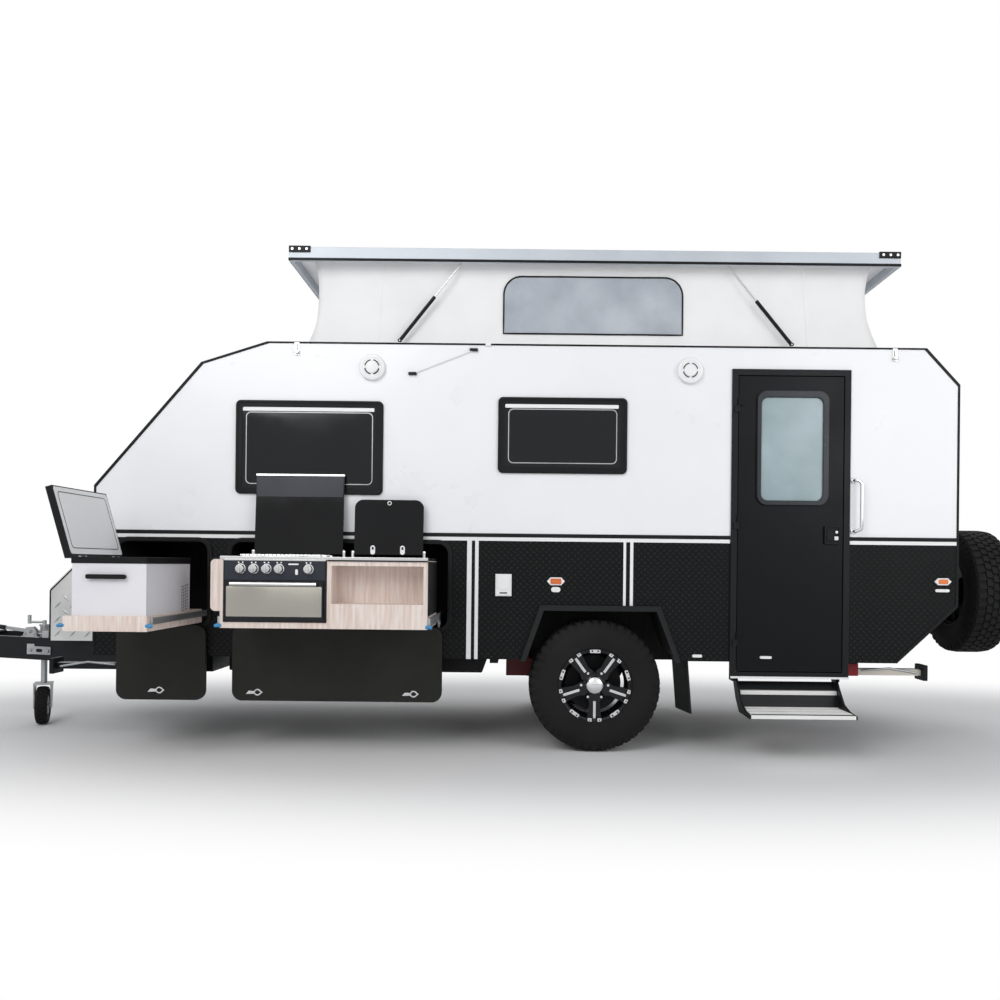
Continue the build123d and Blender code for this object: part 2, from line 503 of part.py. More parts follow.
def door():
    d, out = DOOR, -HALF_WIDTH - DOOR_FLANGE
    f, j, g = DOOR_FLANGE, DOOR_FLANGE + DOOR_JAMB, DOOR_FLANGE + DOOR_JAMB + DOOR_GAP
    frame = slab(d.x0, d.x1, out, -HALF_WIDTH, d.z0, d.z1)
    frame += slab(d.x0 + f, d.x1 - f, out, -INNER, d.z0 + f, d.z1 - f)
    frame -= slab(d.x0 + j, d.x1 - j, out - 1, -INNER + 1, d.z0 + j, d.z1 - j)
    leaf = slab(d.x0 + g, d.x1 - g, out + 4, -INNER - 10, d.z0 + g, d.z1 - g)
    p, m = DOOR_PANE, DOOR_PANE_RIM
    leaf += rounded(p.x0, p.x1, p.z0, p.z1, 60, out - 4, out + 4)
    hole = rounded(p.x0 + m, p.x1 - m, p.z0 + m, p.z1 - m, 45, out - 9, -INNER + 1)
    pane = rounded(p.x0 + m, p.x1 - m, p.z0 + m, p.z1 - m, 45, out, out + PANE_T)
    leaf += slab(d.x1 - 155, d.x1 - 61, out - 6, out + 4, d.z0 + 808, d.z0 + 916)
    x, y, k = DOOR_HINGE_X, DOOR_HINGE_Y, KNUCKLE_R
    for z in (d.z0 + 234, (d.z0 + d.z1) / 2 + 8, d.z1 - 218):
        pin = Pos(x, y, z) * Cylinder(HINGE_PIN_R, 70)
        frame += Pos(x, y, z - 21) * Cylinder(k, 40) + slab(x - 25, x, y - 2, out, z - 41, z - 1) + pin
        knuckle = Pos(x, y, z + 21) * Cylinder(k, 40) + slab(x, x + 25, y - 2, out + 4, z + 1, z + 41)
        leaf += knuckle - Pos(x, y, z) * Cylinder(HINGE_PIN_R + RUNNING, 90)
    return {"door_frame": frame, "door_leaf": leaf - hole, "door_pane": pane}


def hatches():
    frames, liners, doors = [], [], []
    out = -HALF_WIDTH - HATCH_LIP
    s, f, t = HATCH_SLEEVE, HATCH_SLEEVE + HATCH_FLANGE, LINER_T
    for h in HATCHES:
        frame = rounded(h.x0 - f, h.x1 + f, HATCH_Z0 - f, HATCH_Z1 + f, HATCH_R + f, out, -HALF_WIDTH)
        frame += rounded(h.x0 - s, h.x1 + s, HATCH_Z0 - s, HATCH_Z1 + s, HATCH_R + s, out, -INNER)
        frames.append(frame - rounded(h.x0, h.x1, HATCH_Z0, HATCH_Z1, HATCH_R, out - 1, -INNER + 1))
        deep = -INNER + h.depth
        box = slab(h.x0 - t, h.x1 + t, -INNER, deep + t, HATCH_Z0 - t, HATCH_Z1 + t)
        liners.append(box - slab(h.x0, h.x1, -INNER - 1, deep, HATCH_Z0, HATCH_Z1))
        door_y = out - HATCH_DOOR_T
        doors.append(rounded(h.door_x0, h.door_x1, HATCH_DOOR_Z0, HATCH_DOOR_Z1, HATCH_R, door_y, out))
    return {"hatch_frames": frames, "hatch_liners": liners, "hatch_doors": doors}


def runners():
    rails = []
    kitchen_span = (KIT_Y0 + 10, HATCHES[0].depth - INNER - 40, KIT_Z0 + 16, KIT_Z0 + 61)
    fridge_span = (FRIDGE_Y0 + 15, HATCHES[1].depth - INNER - 40, TRAY.z0 + 36, TRAY.z0 + 70)
    for x0, x1, y0, y1, z0, z1 in (
        (KIT_X0 - 15, KIT_X0, *kitchen_span), (KIT_X1, KIT_X1 + 15, *kitchen_span),
        (TRAY.x0 - 15, TRAY.x0, *fridge_span), (TRAY.x1, TRAY.x1 + 15, *fridge_span),
    ):
        rails.append(slab(x0, x1, y0, y1, z0, z1) + slab(x0, x1, -INNER + 10, y1, HATCH_Z0, z0))
    return rails


def kitchen():
    """The slide-out kitchen: cabinet, bench with sink, oven with its drop door, and two glass lids."""
    front, top = KIT_Y0 - 10, KIT_Z1 + BENCH_T
    sink_x = (LIDS[1][0] + 33, LIDS[1][1] - 32)
    t = SINK_T
    cabinet = slab(KIT_X0, KIT_X1, KIT_Y0, KIT_Y1, KIT_Z0, KIT_Z1)
    cabinet -= slab(OVEN_X0, OVEN_X1, front, KIT_Y1 - 18, OVEN_Z0, KIT_Z1 + 1)
    cabinet -= slab(OVEN_X1 + 25, KIT_X1 - 23, front, SINK_Y0 - 24, KIT_Z0 + 135, KIT_Z1 - 31)
    cabinet -= slab(sink_x[0] - 8, sink_x[1] + 8, SINK_Y0 - 6, SINK_Y1 + 6, KIT_Z1 - SINK_DEEP - 20, KIT_Z1 + 1)
    wing = rounded(KIT_X0 - 53, KIT_X0 + 60, KIT_Z0 + 91, KIT_Z1, 25, KIT_Y0 + 6, KIT_Y0 + 24)
    cabinet += wing & slab(KIT_X0 - 60, KIT_X0, KIT_Y0, KIT_Y1, KIT_Z0, KIT_Z1)
    bench = slab(KIT_X0, KIT_X1, KIT_Y0 - 5, KIT_Y1, KIT_Z1, top)
    bench += slab(*sink_x, SINK_Y0, SINK_Y1, KIT_Z1 - SINK_DEEP, KIT_Z1)
    bench -= slab(sink_x[0] + t, sink_x[1] - t, SINK_Y0 + t, SINK_Y1 - t, KIT_Z1 - SINK_DEEP + t, top + 1)
    for y in (KIT_Y0 + 90, KIT_Y0 + 210, KIT_Y0 + 330):
        bench += slab(LIDS[0][0] + 44, LIDS[0][1] - 44, y - TRIVET_W / 2, y + TRIVET_W / 2, top, top + TRIVET_T)
    for x0, x1 in LIDS:
        for post, pin in (((x0 - 13, x0 - 1), (x0 - 2, x0 + 10)), ((x1 + 1, x1 + 13), (x1 - 10, x1 + 2))):
            bench += slab(*post, LID_Y - 9, LID_Y + 9, KIT_Z1, LID_Z + 9)
            bench += rod_x(*pin, LID_Y, LID_Z, LID_PIN_R)
    return {"kitchen_cabinet": cabinet, "kitchen_bench": bench, **oven(front), **lids()}


def oven(front):
    body = slab(OVEN_X0 + 2, OVEN_X1 - 2, KIT_Y0 - 5, KIT_Y1 - 20, OVEN_Z0, KIT_Z1)
    body -= slab(OVEN_X0 + 34, OVEN_X1 - 34, front, KIT_Y1 - 70, OVEN_Z0 + 28, OVEN_Z0 + 211)
    for x in KNOBS_X:
        body += rod_y(OVEN_X0 + x, KIT_Y0 - 33, KIT_Y0 - 5, KIT_Z1 - 51, 23)
    y, z = OVEN_HINGE_Y, OVEN_HINGE_Z
    left, right = OVEN_X0 + 14, OVEN_X1 - 15
    door = slab(left, right, KIT_Y0 - 18, KIT_Y0 - 6, z, OVEN_Z0 + 221) + rod_x(left, right, y, z, KNUCKLE_R)
    for lug, pin in (
        ((left - 8, left - 1), (left - 5, left + 10)), ((right + 1, right + 8), (right - 10, right + 5)),
    ):
        body += slab(*lug, y - 6, KIT_Y0 - 5, z - 8, z + 6) + rod_x(*pin, y, z, HINGE_PIN_R)
        door -= rod_x(pin[0] - 1, pin[1] + 1, y, z, HINGE_PIN_R + RUNNING)
    low, high = OVEN_Z0 + 201, OVEN_Z0 + 213
    door += slab(left + 45, right - 44, KIT_Y0 - 46, KIT_Y0 - 34, low, high)
    for x in (left + 65, right - 74):
        door += slab(x, x + 12, KIT_Y0 - 46, KIT_Y0 - 18, low, high)
    return {"oven": body, "oven_door": door}


def lids():
    """The glass lids of hob and sink, leaning back on their pins."""
    lean = Pos(0, LID_Y, LID_Z) * Rot(-LID_LEAN, 0, 0)
    half = LID_T / 2
    hob = slab(*LIDS[0], -half, half, -4, HOB_LID_H)
    sink = rounded(*LIDS[1], -60, SINK_LID_H, 50, -half, half) & slab(*LIDS[1], -half, half, -4, SINK_LID_H)
    nodes = {}
    for name, lid, (x0, x1) in (("hob_lid", hob, LIDS[0]), ("sink_lid", sink, LIDS[1])):
        for pin in ((x0 - 1, x0 + 12), (x1 - 12, x1 + 1)):
            lid -= rod_x(*pin, 0, 0, LID_PIN_R + RUNNING)
        nodes[name] = lean * lid
    return nodes


def fridge():
    f, w = FRIDGE, FRIDGE_WALL
    body = slab(f.x0, f.x1, FRIDGE_Y0, FRIDGE_Y1, f.z0, f.z1)
    body -= slab(f.x0 + w, f.x1 - w, FRIDGE_Y0 + w, FRIDGE_Y1 - w - 90, f.z0 + w, f.z1 + 1)
    lid = slab(0, f.x1 - f.x0, FRIDGE_Y0, FRIDGE_Y1, 4, 4 + FRIDGE_LID_T)
    z = f.z1 + 2
    for y in (FRIDGE_Y0 + 110, FRIDGE_Y1 - 110):
        body -= rod_y(f.x0, y - 22, y + 22, z, KNUCKLE_R + 1)
        for y0, y1 in ((y - 40, y - 21), (y + 21, y + 40)):
            body += slab(f.x0 - 2.5, f.x0 + 5, y0, y1, f.z1 - 20, z)
        body += rod_y(f.x0, y - 40, y + 40, z, HINGE_PIN_R)
        lid += rod_y(0, y - 20, y + 20, 0, KNUCKLE_R)
        lid -= rod_y(0, y - 30, y + 30, 0, HINGE_PIN_R + RUNNING)
    lid = Pos(f.x0, 0, f.z1 + 2) * Rot(0, -FRIDGE_LID_OPEN, 0) * lid
    t = TRAY
    tray = slab(t.x0, t.x1, FRIDGE_Y0 - 20, FRIDGE_Y1 + 165, t.z0, t.z1)
    w = TRAY_T
    tray -= slab(t.x0 + w, t.x1 - w, FRIDGE_Y0, FRIDGE_Y1 + 150, f.z0, t.z1 + 1)
    return {"fridge": body, "fridge_lid": lid, "fridge_tray": tray}


def step():
    """The fold-down step: a tread and a bar between two bent arms."""
    y, z, t = STEP_PIVOT_Y, STEP_PIVOT_Z, STEP_ARM_T
    bend = [
        (25, 20), (-30, 20), (-110, -70), (-190, -145), (-280, -170), (-390, -179),
        (-390, -200), (-140, -200), (-50, -130), (25, -20),
    ]
    arm = [(y + dy, z + dz) for dy, dz in bend]
    shape = slab(STEP_X0, STEP_X1, y - 390, y - 110, z - 179 - STEP_TREAD_T, z - 179)
    for x in (STEP_X0 - t, STEP_X1):
        shape += along(arm, x, x + t)
    shape += slab(STEP_X0, STEP_X1, y - 80, y - 45, z - 102, z - 82)
    return shape - rod_x(STEP_X0 - t - 8, STEP_X1 + t + 8, y, z, PIVOT_R + RUNNING)


def stabilisers():
    nodes = {}
    for leg in LEGS:
        bar = slab(-12, LEG_L - 20, -LEG_W / 2, LEG_W / 2, -20, 16)
        bar += slab(LEG_L - 20, LEG_L, -60, 60, -44, 44)
        bar -= rod_y(0, -LEG_W, LEG_W, 0, PIVOT_R + RUNNING)
        if leg.way < 0:
            bar = mirror(bar, about=Plane.YZ)
        bar = Pos(leg.pivot_x, -LEG_Y, leg.pivot_z) * bar
        nodes["stabiliser_" + leg.name + "_near"] = bar
        nodes["stabiliser_" + leg.name + "_far"] = far(bar)
    return nodes


def fittings():
    out = -HALF_WIDTH
    plain = [slab(-608, -511, out - 25, out, 943, 1075)]
    for x in (-1358, 544):
        plain.append(rod_y(x, out - 28, out, 2303, 75))
    handle = Pos(1565, out - 55, 1504) * Cylinder(11, 324)
    for z in (1352, 1656):
        handle += slab(1524, 1576, out - 66, out - 44, z - 10, z + 10)
        handle += slab(1524, 1546, out - 66, out, z - 10, z + 10)
    markers = []
    for x0, x1, z0, z1 in ((-300, -192, 1011, 1058), (2022, 2123, 1035, 1077)):
        markers += both(slab(x0, x1, out - 14, out, z0, z1))
    tails = both(slab(REAR_X, REAR_X + 26, out + 60, out + 140, 1010, 1240))
    return {"wall_fittings": plain, "grab_handle": handle, "side_markers": markers, "tail_lamps": tails}


def main():
    os.makedirs("parts", exist_ok=True)
    nodes = {"floor": floor(), "arch_trims": arch_trims(), "coupling": coupling()}
    nodes.update({"spare_carrier": spare_carrier(), "slide_runners": runners(), "entry_step": step()})
    nodes["handbrake"] = handbrake()
    for group in (
        wall_nodes, wheels, chassis, jockey, toolbox, suspension, pop_top, windows, door, hatches,
        kitchen, fridge, stabilisers, fittings,
    ):
        nodes.update(group())
    for name, shape in nodes.items():
        if isinstance(shape, list):
            shape = Compound(children=[solid for piece in shape for solid in piece.solids()])
        export_step(ROW * shape, "parts/" + name + ".step")


main()
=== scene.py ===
"""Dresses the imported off-road camper trailer in its finishes and fine detail.

Sizes are in millimetres: X runs rearwards from the axle, Y to the far side and Z up from the
ground. They become metres in the part's own frame, which starts at the coupling's ball, when a
piece is made.
"""

from __future__ import annotations

import logging
import math
from dataclasses import dataclass, field
from enum import Enum
from typing import Sequence

import bmesh
import bpy
from mathutils import Matrix, Vector

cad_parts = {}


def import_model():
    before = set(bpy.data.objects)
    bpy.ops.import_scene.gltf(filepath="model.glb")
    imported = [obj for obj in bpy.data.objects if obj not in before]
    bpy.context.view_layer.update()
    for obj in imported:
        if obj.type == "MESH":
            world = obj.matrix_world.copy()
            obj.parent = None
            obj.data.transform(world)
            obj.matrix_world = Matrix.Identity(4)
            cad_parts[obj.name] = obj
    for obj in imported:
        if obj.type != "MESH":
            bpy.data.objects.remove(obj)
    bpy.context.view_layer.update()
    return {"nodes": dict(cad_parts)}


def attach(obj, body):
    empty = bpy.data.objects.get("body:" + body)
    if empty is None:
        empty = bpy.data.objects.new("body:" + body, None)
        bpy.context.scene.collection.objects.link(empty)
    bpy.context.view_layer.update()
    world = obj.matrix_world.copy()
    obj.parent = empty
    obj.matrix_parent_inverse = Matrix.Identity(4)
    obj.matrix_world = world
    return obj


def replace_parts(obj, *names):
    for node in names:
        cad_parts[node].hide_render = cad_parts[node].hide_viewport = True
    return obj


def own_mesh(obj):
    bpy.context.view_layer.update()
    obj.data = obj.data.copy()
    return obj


LOG = logging.getLogger("camper")
MM = 0.001
AXLE = Vector((4.65, 0.0, -0.5))  # the axle's foot on the ground, in the part's frame
ROW = Matrix.Translation(AXLE) @ Matrix.Scale(MM, 4)
SIDES = (-1, 1)  # near side, far side
WALL = 1100.0  # from the middle to a side wall's outer face
ROOT = "trailer"

Pair = tuple[float, float]
Triple = tuple[float, float, float]
Edges = tuple[float, float, float, float]  # a rectangle's left, right, lower and upper edge

ORIGIN: Triple = (0.0, 0.0, 0.0)


def place(x: float, y: float, z: float) -> Vector:
    """Gives a point of the trailer in the part's frame, in metres."""
    return ROW @ Vector((x, y, z))


def span(first: float, second: float) -> Pair:
    """Gives two values in rising order."""
    return (min(first, second), max(first, second))


def linear(code: str) -> tuple[float, float, float, float]:
    """Turns an sRGB hex colour into linear light.

    Args:
        code: Six hex digits.

    Returns:
        Linear red, green, blue and an alpha of 1.
    """
    parts = [int(code[i : i + 2], 16) / 255 for i in (0, 2, 4)]
    tone = [p / 12.92 if p <= 0.04045 else ((p + 0.055) / 1.055) ** 2.4 for p in parts]
    return (tone[0], tone[1], tone[2], 1.0)


def add_node(
    tree: bpy.types.NodeTree, kind: str, settings: dict, links: dict | None = None
) -> bpy.types.Node:
    """Adds a node with its settings and links.

    Args:
        tree: The node tree.
        kind: The node's Blender type.
        settings: Properties by attribute name, and socket values by socket name or index.
        links: Socket name or index to the output socket that feeds it.

    Returns:
        The new node.
    """
    node = tree.nodes.new(kind)
    for key, value in settings.items():
        if isinstance(key, str) and hasattr(node, key):
            setattr(node, key, value)
        else:
            node.inputs[key].default_value = value
    for key, source in (links or {}).items():
        tree.links.new(source, node.inputs[key])
    return node


class Pattern(Enum):
    """How a surface was made, which sets its bump."""

    SMOOTH = "smooth"
    SPRAYED = "sprayed"
    MOULDED = "moulded"
    TREAD_PLATE = "tread plate"
    BRUSHED = "brushed"
    SPANGLED = "spangled"
    GRAINED = "grained"
    WOVEN = "woven"


@dataclass(frozen=True)
class Finish:
    """A real material and how its surface was made.

    Attributes:
        name: The material's common name and its making.
        slot: The record's slot that it belongs to.
        tone: Its sRGB colour.
        rough: Roughness.
        metal: Metallic share.
        pattern: What gives its surface relief.
        pitch: The relief's real size in mm.
        depth: The relief's height in mm.
        second: The sRGB colour that it varies to; on tread plate, the hollows' dark colour, against
            which the lozenges carry a painted highlight.
        clear: Share of light that passes.
        coat: A clear coat's weight.
        sheen: A fabric's sheen.
        shine: Strength of a non-metal's mirror reflection; 0.5 is glass-like.
    """

    name: str
    slot: str
    tone: str
    rough: float
    metal: float = 0.0
    pattern: Pattern = Pattern.SMOOTH
    pitch: float = 2.0
    depth: float = 0.05
    second: str = ""
    clear: float = 0.0
    coat: float = 0.0
    sheen: float = 0.0
    shine: float = 0.5

    def material(self) -> bpy.types.Material:
        """Gives the Blender material, made once."""
        made = bpy.data.materials.get(self.name)
        return made if made else self._build()

    def _build(self) -> bpy.types.Material:
        """Builds the shader with its colour, roughness and relief."""
        made = bpy.data.materials.new(self.name)
        made.use_nodes = True
        tree = made.node_tree
        shader = tree.nodes["Principled BSDF"]
        settings = {
            "Base Color": linear(self.tone), "Roughness": self.rough, "Metallic": self.metal,
            "Coat Weight": self.coat, "Coat Roughness": 0.08, "Sheen Weight": self.sheen,
            "Transmission Weight": self.clear, "Specular IOR Level": self.shine,
        }
        for key, value in settings.items():
            shader.inputs[key].default_value = value
        spot = add_node(tree, "ShaderNodeTexCoord", {}).outputs["Object"]
        height = self._relief(tree, spot)
        bump = add_node(
            tree, "ShaderNodeBump", {"Strength": 0.8, "Distance": self.depth * MM},
            {"Height": height}
        )
        tree.links.new(bump.outputs["Normal"], shader.inputs["Normal"])
        self._vary(tree, spot, height, shader)
        return made

    def _vary(
        self, tree: bpy.types.NodeTree, spot: bpy.types.NodeSocket, height: bpy.types.NodeSocket,
        shader: bpy.types.Node,
    ) -> None:
        """Lets the colour and the roughness drift a little, as dust and handling do.

        Tread plate takes its colour from its relief: its lozenges carry a painted highlight, paler
        than the hollows between them.

        Args:
            tree: The material's nodes.
            spot: Place on the object, in metres.
            height: The surface's relief.
            shader: The surface shader.
        """
        stretch = (70.0, 70.0, 5.0) if self.pattern is Pattern.GRAINED else (3.0, 3.0, 3.0)
        mapped = add_node(tree, "ShaderNodeMapping", {"Scale": stretch}, {"Vector": spot})
        drift = add_node(
            tree, "ShaderNodeTexNoise", {"Scale": 1.0, "Detail": 6.0}, {"Vector": mapped.outputs[0]}
        ).outputs[0]
        spread = 0.06
        least, most = max(self.rough - spread, 0.02), self.rough + spread
        rough = add_node(
            tree, "ShaderNodeMapRange",
            {"From Min": 0.3, "From Max": 0.7, "To Min": least, "To Max": most}, {"Value": drift},
        )
        tree.links.new(rough.outputs[0], shader.inputs["Roughness"])
        if not self.second:
            return
        # Painted highlight: on tread plate the relief picks the colour, paler on the lozenges where
        # they catch the light.
        painted_highlight = self.pattern is Pattern.TREAD_PLATE
        ramp = add_node(tree, "ShaderNodeValToRGB", {}, {"Fac": height if painted_highlight else drift})
        low, high = ramp.color_ramp.elements
        low.position, high.position = (0.05, 0.3) if painted_highlight else (0.34, 0.66)
        low.color, high.color = linear(self.second), linear(self.tone)
        tree.links.new(ramp.outputs[0], shader.inputs["Base Color"])

    def _relief(self, tree: bpy.types.NodeTree, spot: bpy.types.NodeSocket) -> bpy.types.NodeSocket:
        """Makes the height that the surface's making leaves.

        Args:
            tree: The material's nodes.
            spot: Place on the object, in metres.

        Returns:
            The socket that carries the height.
        """
        per_metre = 1000.0 / self.pitch
        if self.pattern is Pattern.TREAD_PLATE:
            return self._tread_plate(tree, spot, per_metre)
        along = {Pattern.BRUSHED: (0.02, 1.0, 1.0), Pattern.GRAINED: (1.0, 1.0, 0.04)}
        stretch = along.get(self.pattern, (1.0, 1.0, 1.0))
        mapped = add_node(
            tree, "ShaderNodeMapping", {"Scale": tuple(per_metre * s for s in stretch)},
            {"Vector": spot}
        )
        if self.pattern is Pattern.SPANGLED:
            return add_node(
                tree, "ShaderNodeTexVoronoi", {"Scale": 1.0}, {"Vector": mapped.outputs[0]}
            ).outputs[0]
        if self.pattern is Pattern.WOVEN:
            bands = 0.314  # gives the wave texture one band to each pitch
            rows = [
                add_node(
                    tree, "ShaderNodeTexWave",
                    {"bands_direction": way, "Scale": bands, "Distortion": 0.6},
                    {"Vector": mapped.outputs[0]},
                ).outputs[1]
                for way in ("DIAGONAL", "Z")
            ]
            return add_node(
                tree, "ShaderNodeMath", {"operation": "MULTIPLY"}, {0: rows[0], 1: rows[1]}
            ).outputs[0]
        detail = 2.0 if self.pattern is Pattern.SMOOTH else 4.0
        return add_node(
            tree, "ShaderNodeTexNoise", {"Scale": 1.0, "Detail": detail},
            {"Vector": mapped.outputs[0]}
        ).outputs[0]

    def _tread_plate(
        self, tree: bpy.types.NodeTree, spot: bpy.types.NodeSocket, per_metre: float
    ) -> bpy.types.NodeSocket:
        """Makes the crossed lozenges of tread plate, every second one turned a quarter.

        Args:
            tree: The material's nodes.
            spot: Place on the object, in metres.
            per_metre: Lozenges to a metre.

        Returns:
            The socket that carries the height.
        """

        def sum_up(operation: str, first: object, second: object = 0.0) -> bpy.types.NodeSocket:
            """Works out one step of the pattern from two sockets or numbers."""
            given = {0: first, 1: second}
            links = {k: v for k, v in given.items() if isinstance(v, bpy.types.NodeSocket)}
            settings = {k: v for k, v in given.items() if k not in links}
            return add_node(
                tree, "ShaderNodeMath", {"operation": operation, **settings}, links
            ).outputs[0]

        axes = add_node(tree, "ShaderNodeSeparateXYZ", {}, {0: spot}).outputs
        run = sum_up("ADD", axes[0], axes[1])
        ways = [
            sum_up("MULTIPLY", sum_up(s, run, axes[2]), per_metre * math.sqrt(0.5))
            for s in ("ADD", "SUBTRACT")
        ]
        inside = [sum_up("SUBTRACT", sum_up("FRACT", w), 0.5) for w in ways]
        cells = [sum_up("FLOOR", w) for w in ways]
        odd = sum_up("FLOORED_MODULO", sum_up("ADD", *cells), 2.0)
        shares = []
        for first, second, half in ((0, 1, 0.44), (1, 0, 0.17)):
            mixed = add_node(
                tree, "ShaderNodeMix", {"data_type": "FLOAT"},
                {0: odd, 2: inside[first], 3: inside[second]}
            ).outputs[0]
            scaled = sum_up("DIVIDE", mixed, half)
            shares.append(sum_up("MULTIPLY", scaled, scaled))
        away = sum_up("MINIMUM", sum_up("ADD", *shares), 1.0)
        return sum_up("SUBTRACT", 1.0, away)


class Finishes:
    """The trailer's finishes."""

    # Gel-coated composite: smooth, faintly rippled, a soft sky sheen.
    GELCOAT = Finish("gelcoat_composite_polished", "white_composite", "F2F3F5", 0.32,
                     pattern=Pattern.SPRAYED, pitch=60, depth=0.1, second="F0F1F3", coat=0.2)
    # Black-painted tread plate: small crossed lozenges that catch the light; they carry a painted
    # highlight, paler than the dark hollows between them.
    TREAD_BLACK = Finish("tread_plate_painted_black", "black_checker", "1C1E21", 0.44,
                         pattern=Pattern.TREAD_PLATE, pitch=27, depth=2.6, second="050607",
                         shine=0.15)
    # Bare rolled aluminium: bright and slightly streaked.
    ALU_BRIGHT = Finish("aluminium_rolled_bright", "bright_checker", "D8D8D6", 0.34, 0.85,
                        Pattern.BRUSHED, pitch=3, depth=0.05, second="BFC0BF")
    # Ribbed step tread: sanded pale, dull.
    STEP_BRIGHT = Finish("aluminium_extruded_sanded", "bright_checker", "F0F0EE", 0.5, 0.25,
                         Pattern.BRUSHED, pitch=3, depth=0.05, second="E6E6E4")
    # Anodised aluminium extrusion: even grey with drawn lines.
    ALU_GREY = Finish("aluminium_anodised_grey", "grey_alloy", "C3C9D0", 0.42, 0.2, Pattern.BRUSHED,
                      pitch=2.5, depth=0.04, second="B9BFC6")
    # Powder-coated steel: black with a fine orange peel.
    POWDER = Finish("steel_powder_coated_black", "black_steel", "0E1012", 0.45,
                    pattern=Pattern.SPRAYED, pitch=3, depth=0.06, second="121417", shine=0.2)
    # Sprayed door skin: a little smoother than the frame's coat.
    DOOR_BLACK = Finish("aluminium_sprayed_black", "black_steel", "0B0C0F", 0.34,
                        pattern=Pattern.SPRAYED, pitch=8, depth=0.04, second="0E1013", shine=0.14)
    # Zinc-plated steel: pale and warm, with a faint bloom.
    ZINC_PLATED = Finish("steel_zinc_plated", "galvanised", "DAD3C8", 0.45, 0.25, Pattern.SPANGLED,
                         pitch=9, depth=0.03, second="CFC8BD")
    # Red-painted steel: a clear signal red, little worn.
    RED_PAINT = Finish("steel_painted_red", "red_steel", "A01624", 0.4, pattern=Pattern.SPRAYED,
                       pitch=4, depth=0.05, second="941420", shine=0.3)
    # Red chassis enamel: dark, dusty.
    RED_ENAMEL = Finish("steel_enamelled_red", "red_steel", "5A1014", 0.45, pattern=Pattern.SPRAYED,
                        pitch=4, depth=0.05, second="480D10", shine=0.25)
    # Hot-dip galvanised steel: pale grey with a crystal spangle.
    GALVANISED = Finish("steel_galvanised", "galvanised", "B4B7B8", 0.42, 0.8, Pattern.SPANGLED,
                        pitch=9, depth=0.05, second="9A9DA0")
    # Polished stainless sheet: bright, with a fine grain.
    STAINLESS = Finish("stainless_steel_brushed", "stainless", "DADADA", 0.2, 1.0, Pattern.BRUSHED,
                       pitch=2, depth=0.02, second="CFCFD0")
    # Chrome plate: a plain mirror.
    CHROME = Finish("steel_chromed", "chrome", "E4E4E6", 0.07, 1.0, pitch=40, depth=0.01)
    # Black moulded ABS: satin with a leather grain.
    ABS_BLACK = Finish("abs_moulded_black", "black_plastic", "0F1012", 0.48,
                       pattern=Pattern.MOULDED, pitch=2.2, depth=0.06, second="131416", shine=0.18)
    # Charcoal moulded ABS: a shade paler than the black, satin.
    ARCH_GREY = Finish("abs_moulded_charcoal", "black_plastic", "17191A", 0.48,
                       pattern=Pattern.MOULDED, pitch=2.4, depth=0.06, second="1B1D1E", shine=0.22)
    # Extruded rubber bead: blue-black, a soft gleam on its round edge.
    BEAD = Finish("rubber_extruded_satin", "black_plastic", "181D23", 0.3, pattern=Pattern.MOULDED,
                  pitch=3, depth=0.03, second="1C2229", shine=0.35)
    # Hatch skin: warmer black, satin.
    HATCH_BLACK = Finish("composite_sprayed_soft_black", "black_plastic", "1F1F1D", 0.5,
                         pattern=Pattern.MOULDED, pitch=2.6, depth=0.05, second="242422", shine=0.2)
    # Rotomoulded polyethylene tank: dull black.
    TANK = Finish("polyethylene_moulded_black", "black_poly", "101113", 0.6,
                  pattern=Pattern.MOULDED, pitch=4, depth=0.12, second="151618", shine=0.2)
    # Tyre rubber: near black and matt, dust in its grain.
    TYRE = Finish("tyre_rubber_moulded", "tyre", "151516", 0.75, pattern=Pattern.MOULDED, pitch=1.6,
                  depth=0.1, second="1B1B1B", shine=0.2)
    # Painted cast alloy: deep gloss black.
    ALLOY_BLACK = Finish("alloy_cast_painted_black", "black_alloy", "0E0F12", 0.24, 0.1, pitch=30,
                         depth=0.05, second="131418", shine=0.35)
    # The same casting where the lathe has cut it bright.
    ALLOY_CUT = Finish("alloy_machined_bright", "black_alloy", "DCDCDD", 0.26, 0.75,
                       Pattern.BRUSHED, pitch=1.5, depth=0.02)
    # Pale laminated board: pinkish, fine upright grain.
    BOARD = Finish("birch_board_limed", "wood", "EADFD8", 0.5, pattern=Pattern.GRAINED, pitch=5,
                   depth=0.05, second="D8C4B8")
    # Plywood: darker, plain.
    PLY = Finish("plywood_sealed", "plywood", "161514", 0.65, pattern=Pattern.GRAINED, pitch=8,
                 depth=0.08, second="1C1B19", shine=0.2)
    # Vitreous enamel on steel: near black and glossy.
    ENAMEL = Finish("steel_enamelled_black", "oven_steel", "121418", 0.25, 0.0, pitch=50,
                    depth=0.03, second="16181C", shine=0.3)
    # Coated oven glass: a warm mirror.
    MIRROR = Finish("glass_mirror_coated", "mirror_glass", "DDD8CC", 0.05, 1.0, pitch=120,
                    depth=0.12)
    # Toughened black glass: a dark mirror.
    BLACK_GLASS = Finish("glass_toughened_black", "black_glass", "08090C", 0.09, pitch=200,
                         depth=0.01, shine=0.22)
    # Tinted acrylic: dark and see-through.
    ACRYLIC = Finish("acrylic_tinted", "tinted_acrylic", "0C1116", 0.05, pitch=200, depth=0.05,
                     clear=0.3, shine=0.22)
    # Sand-blasted glass: pale, softly lit.
    FROSTED = Finish("glass_frosted", "frosted_glass", "A9BDC4", 0.36, pattern=Pattern.SPRAYED,
                     pitch=26, depth=0.5, second="8EA5AA", clear=0.15, coat=0.5)
    # Coated canvas: off-white. Its 0.8 mm thread is drawn at 7 mm so that it shows.
    CANVAS = Finish("canvas_coated_woven", "canvas", "F5F5F4", 0.78, pattern=Pattern.WOVEN, pitch=7,
                    depth=0.12, second="EFEFEE", sheen=0.2)
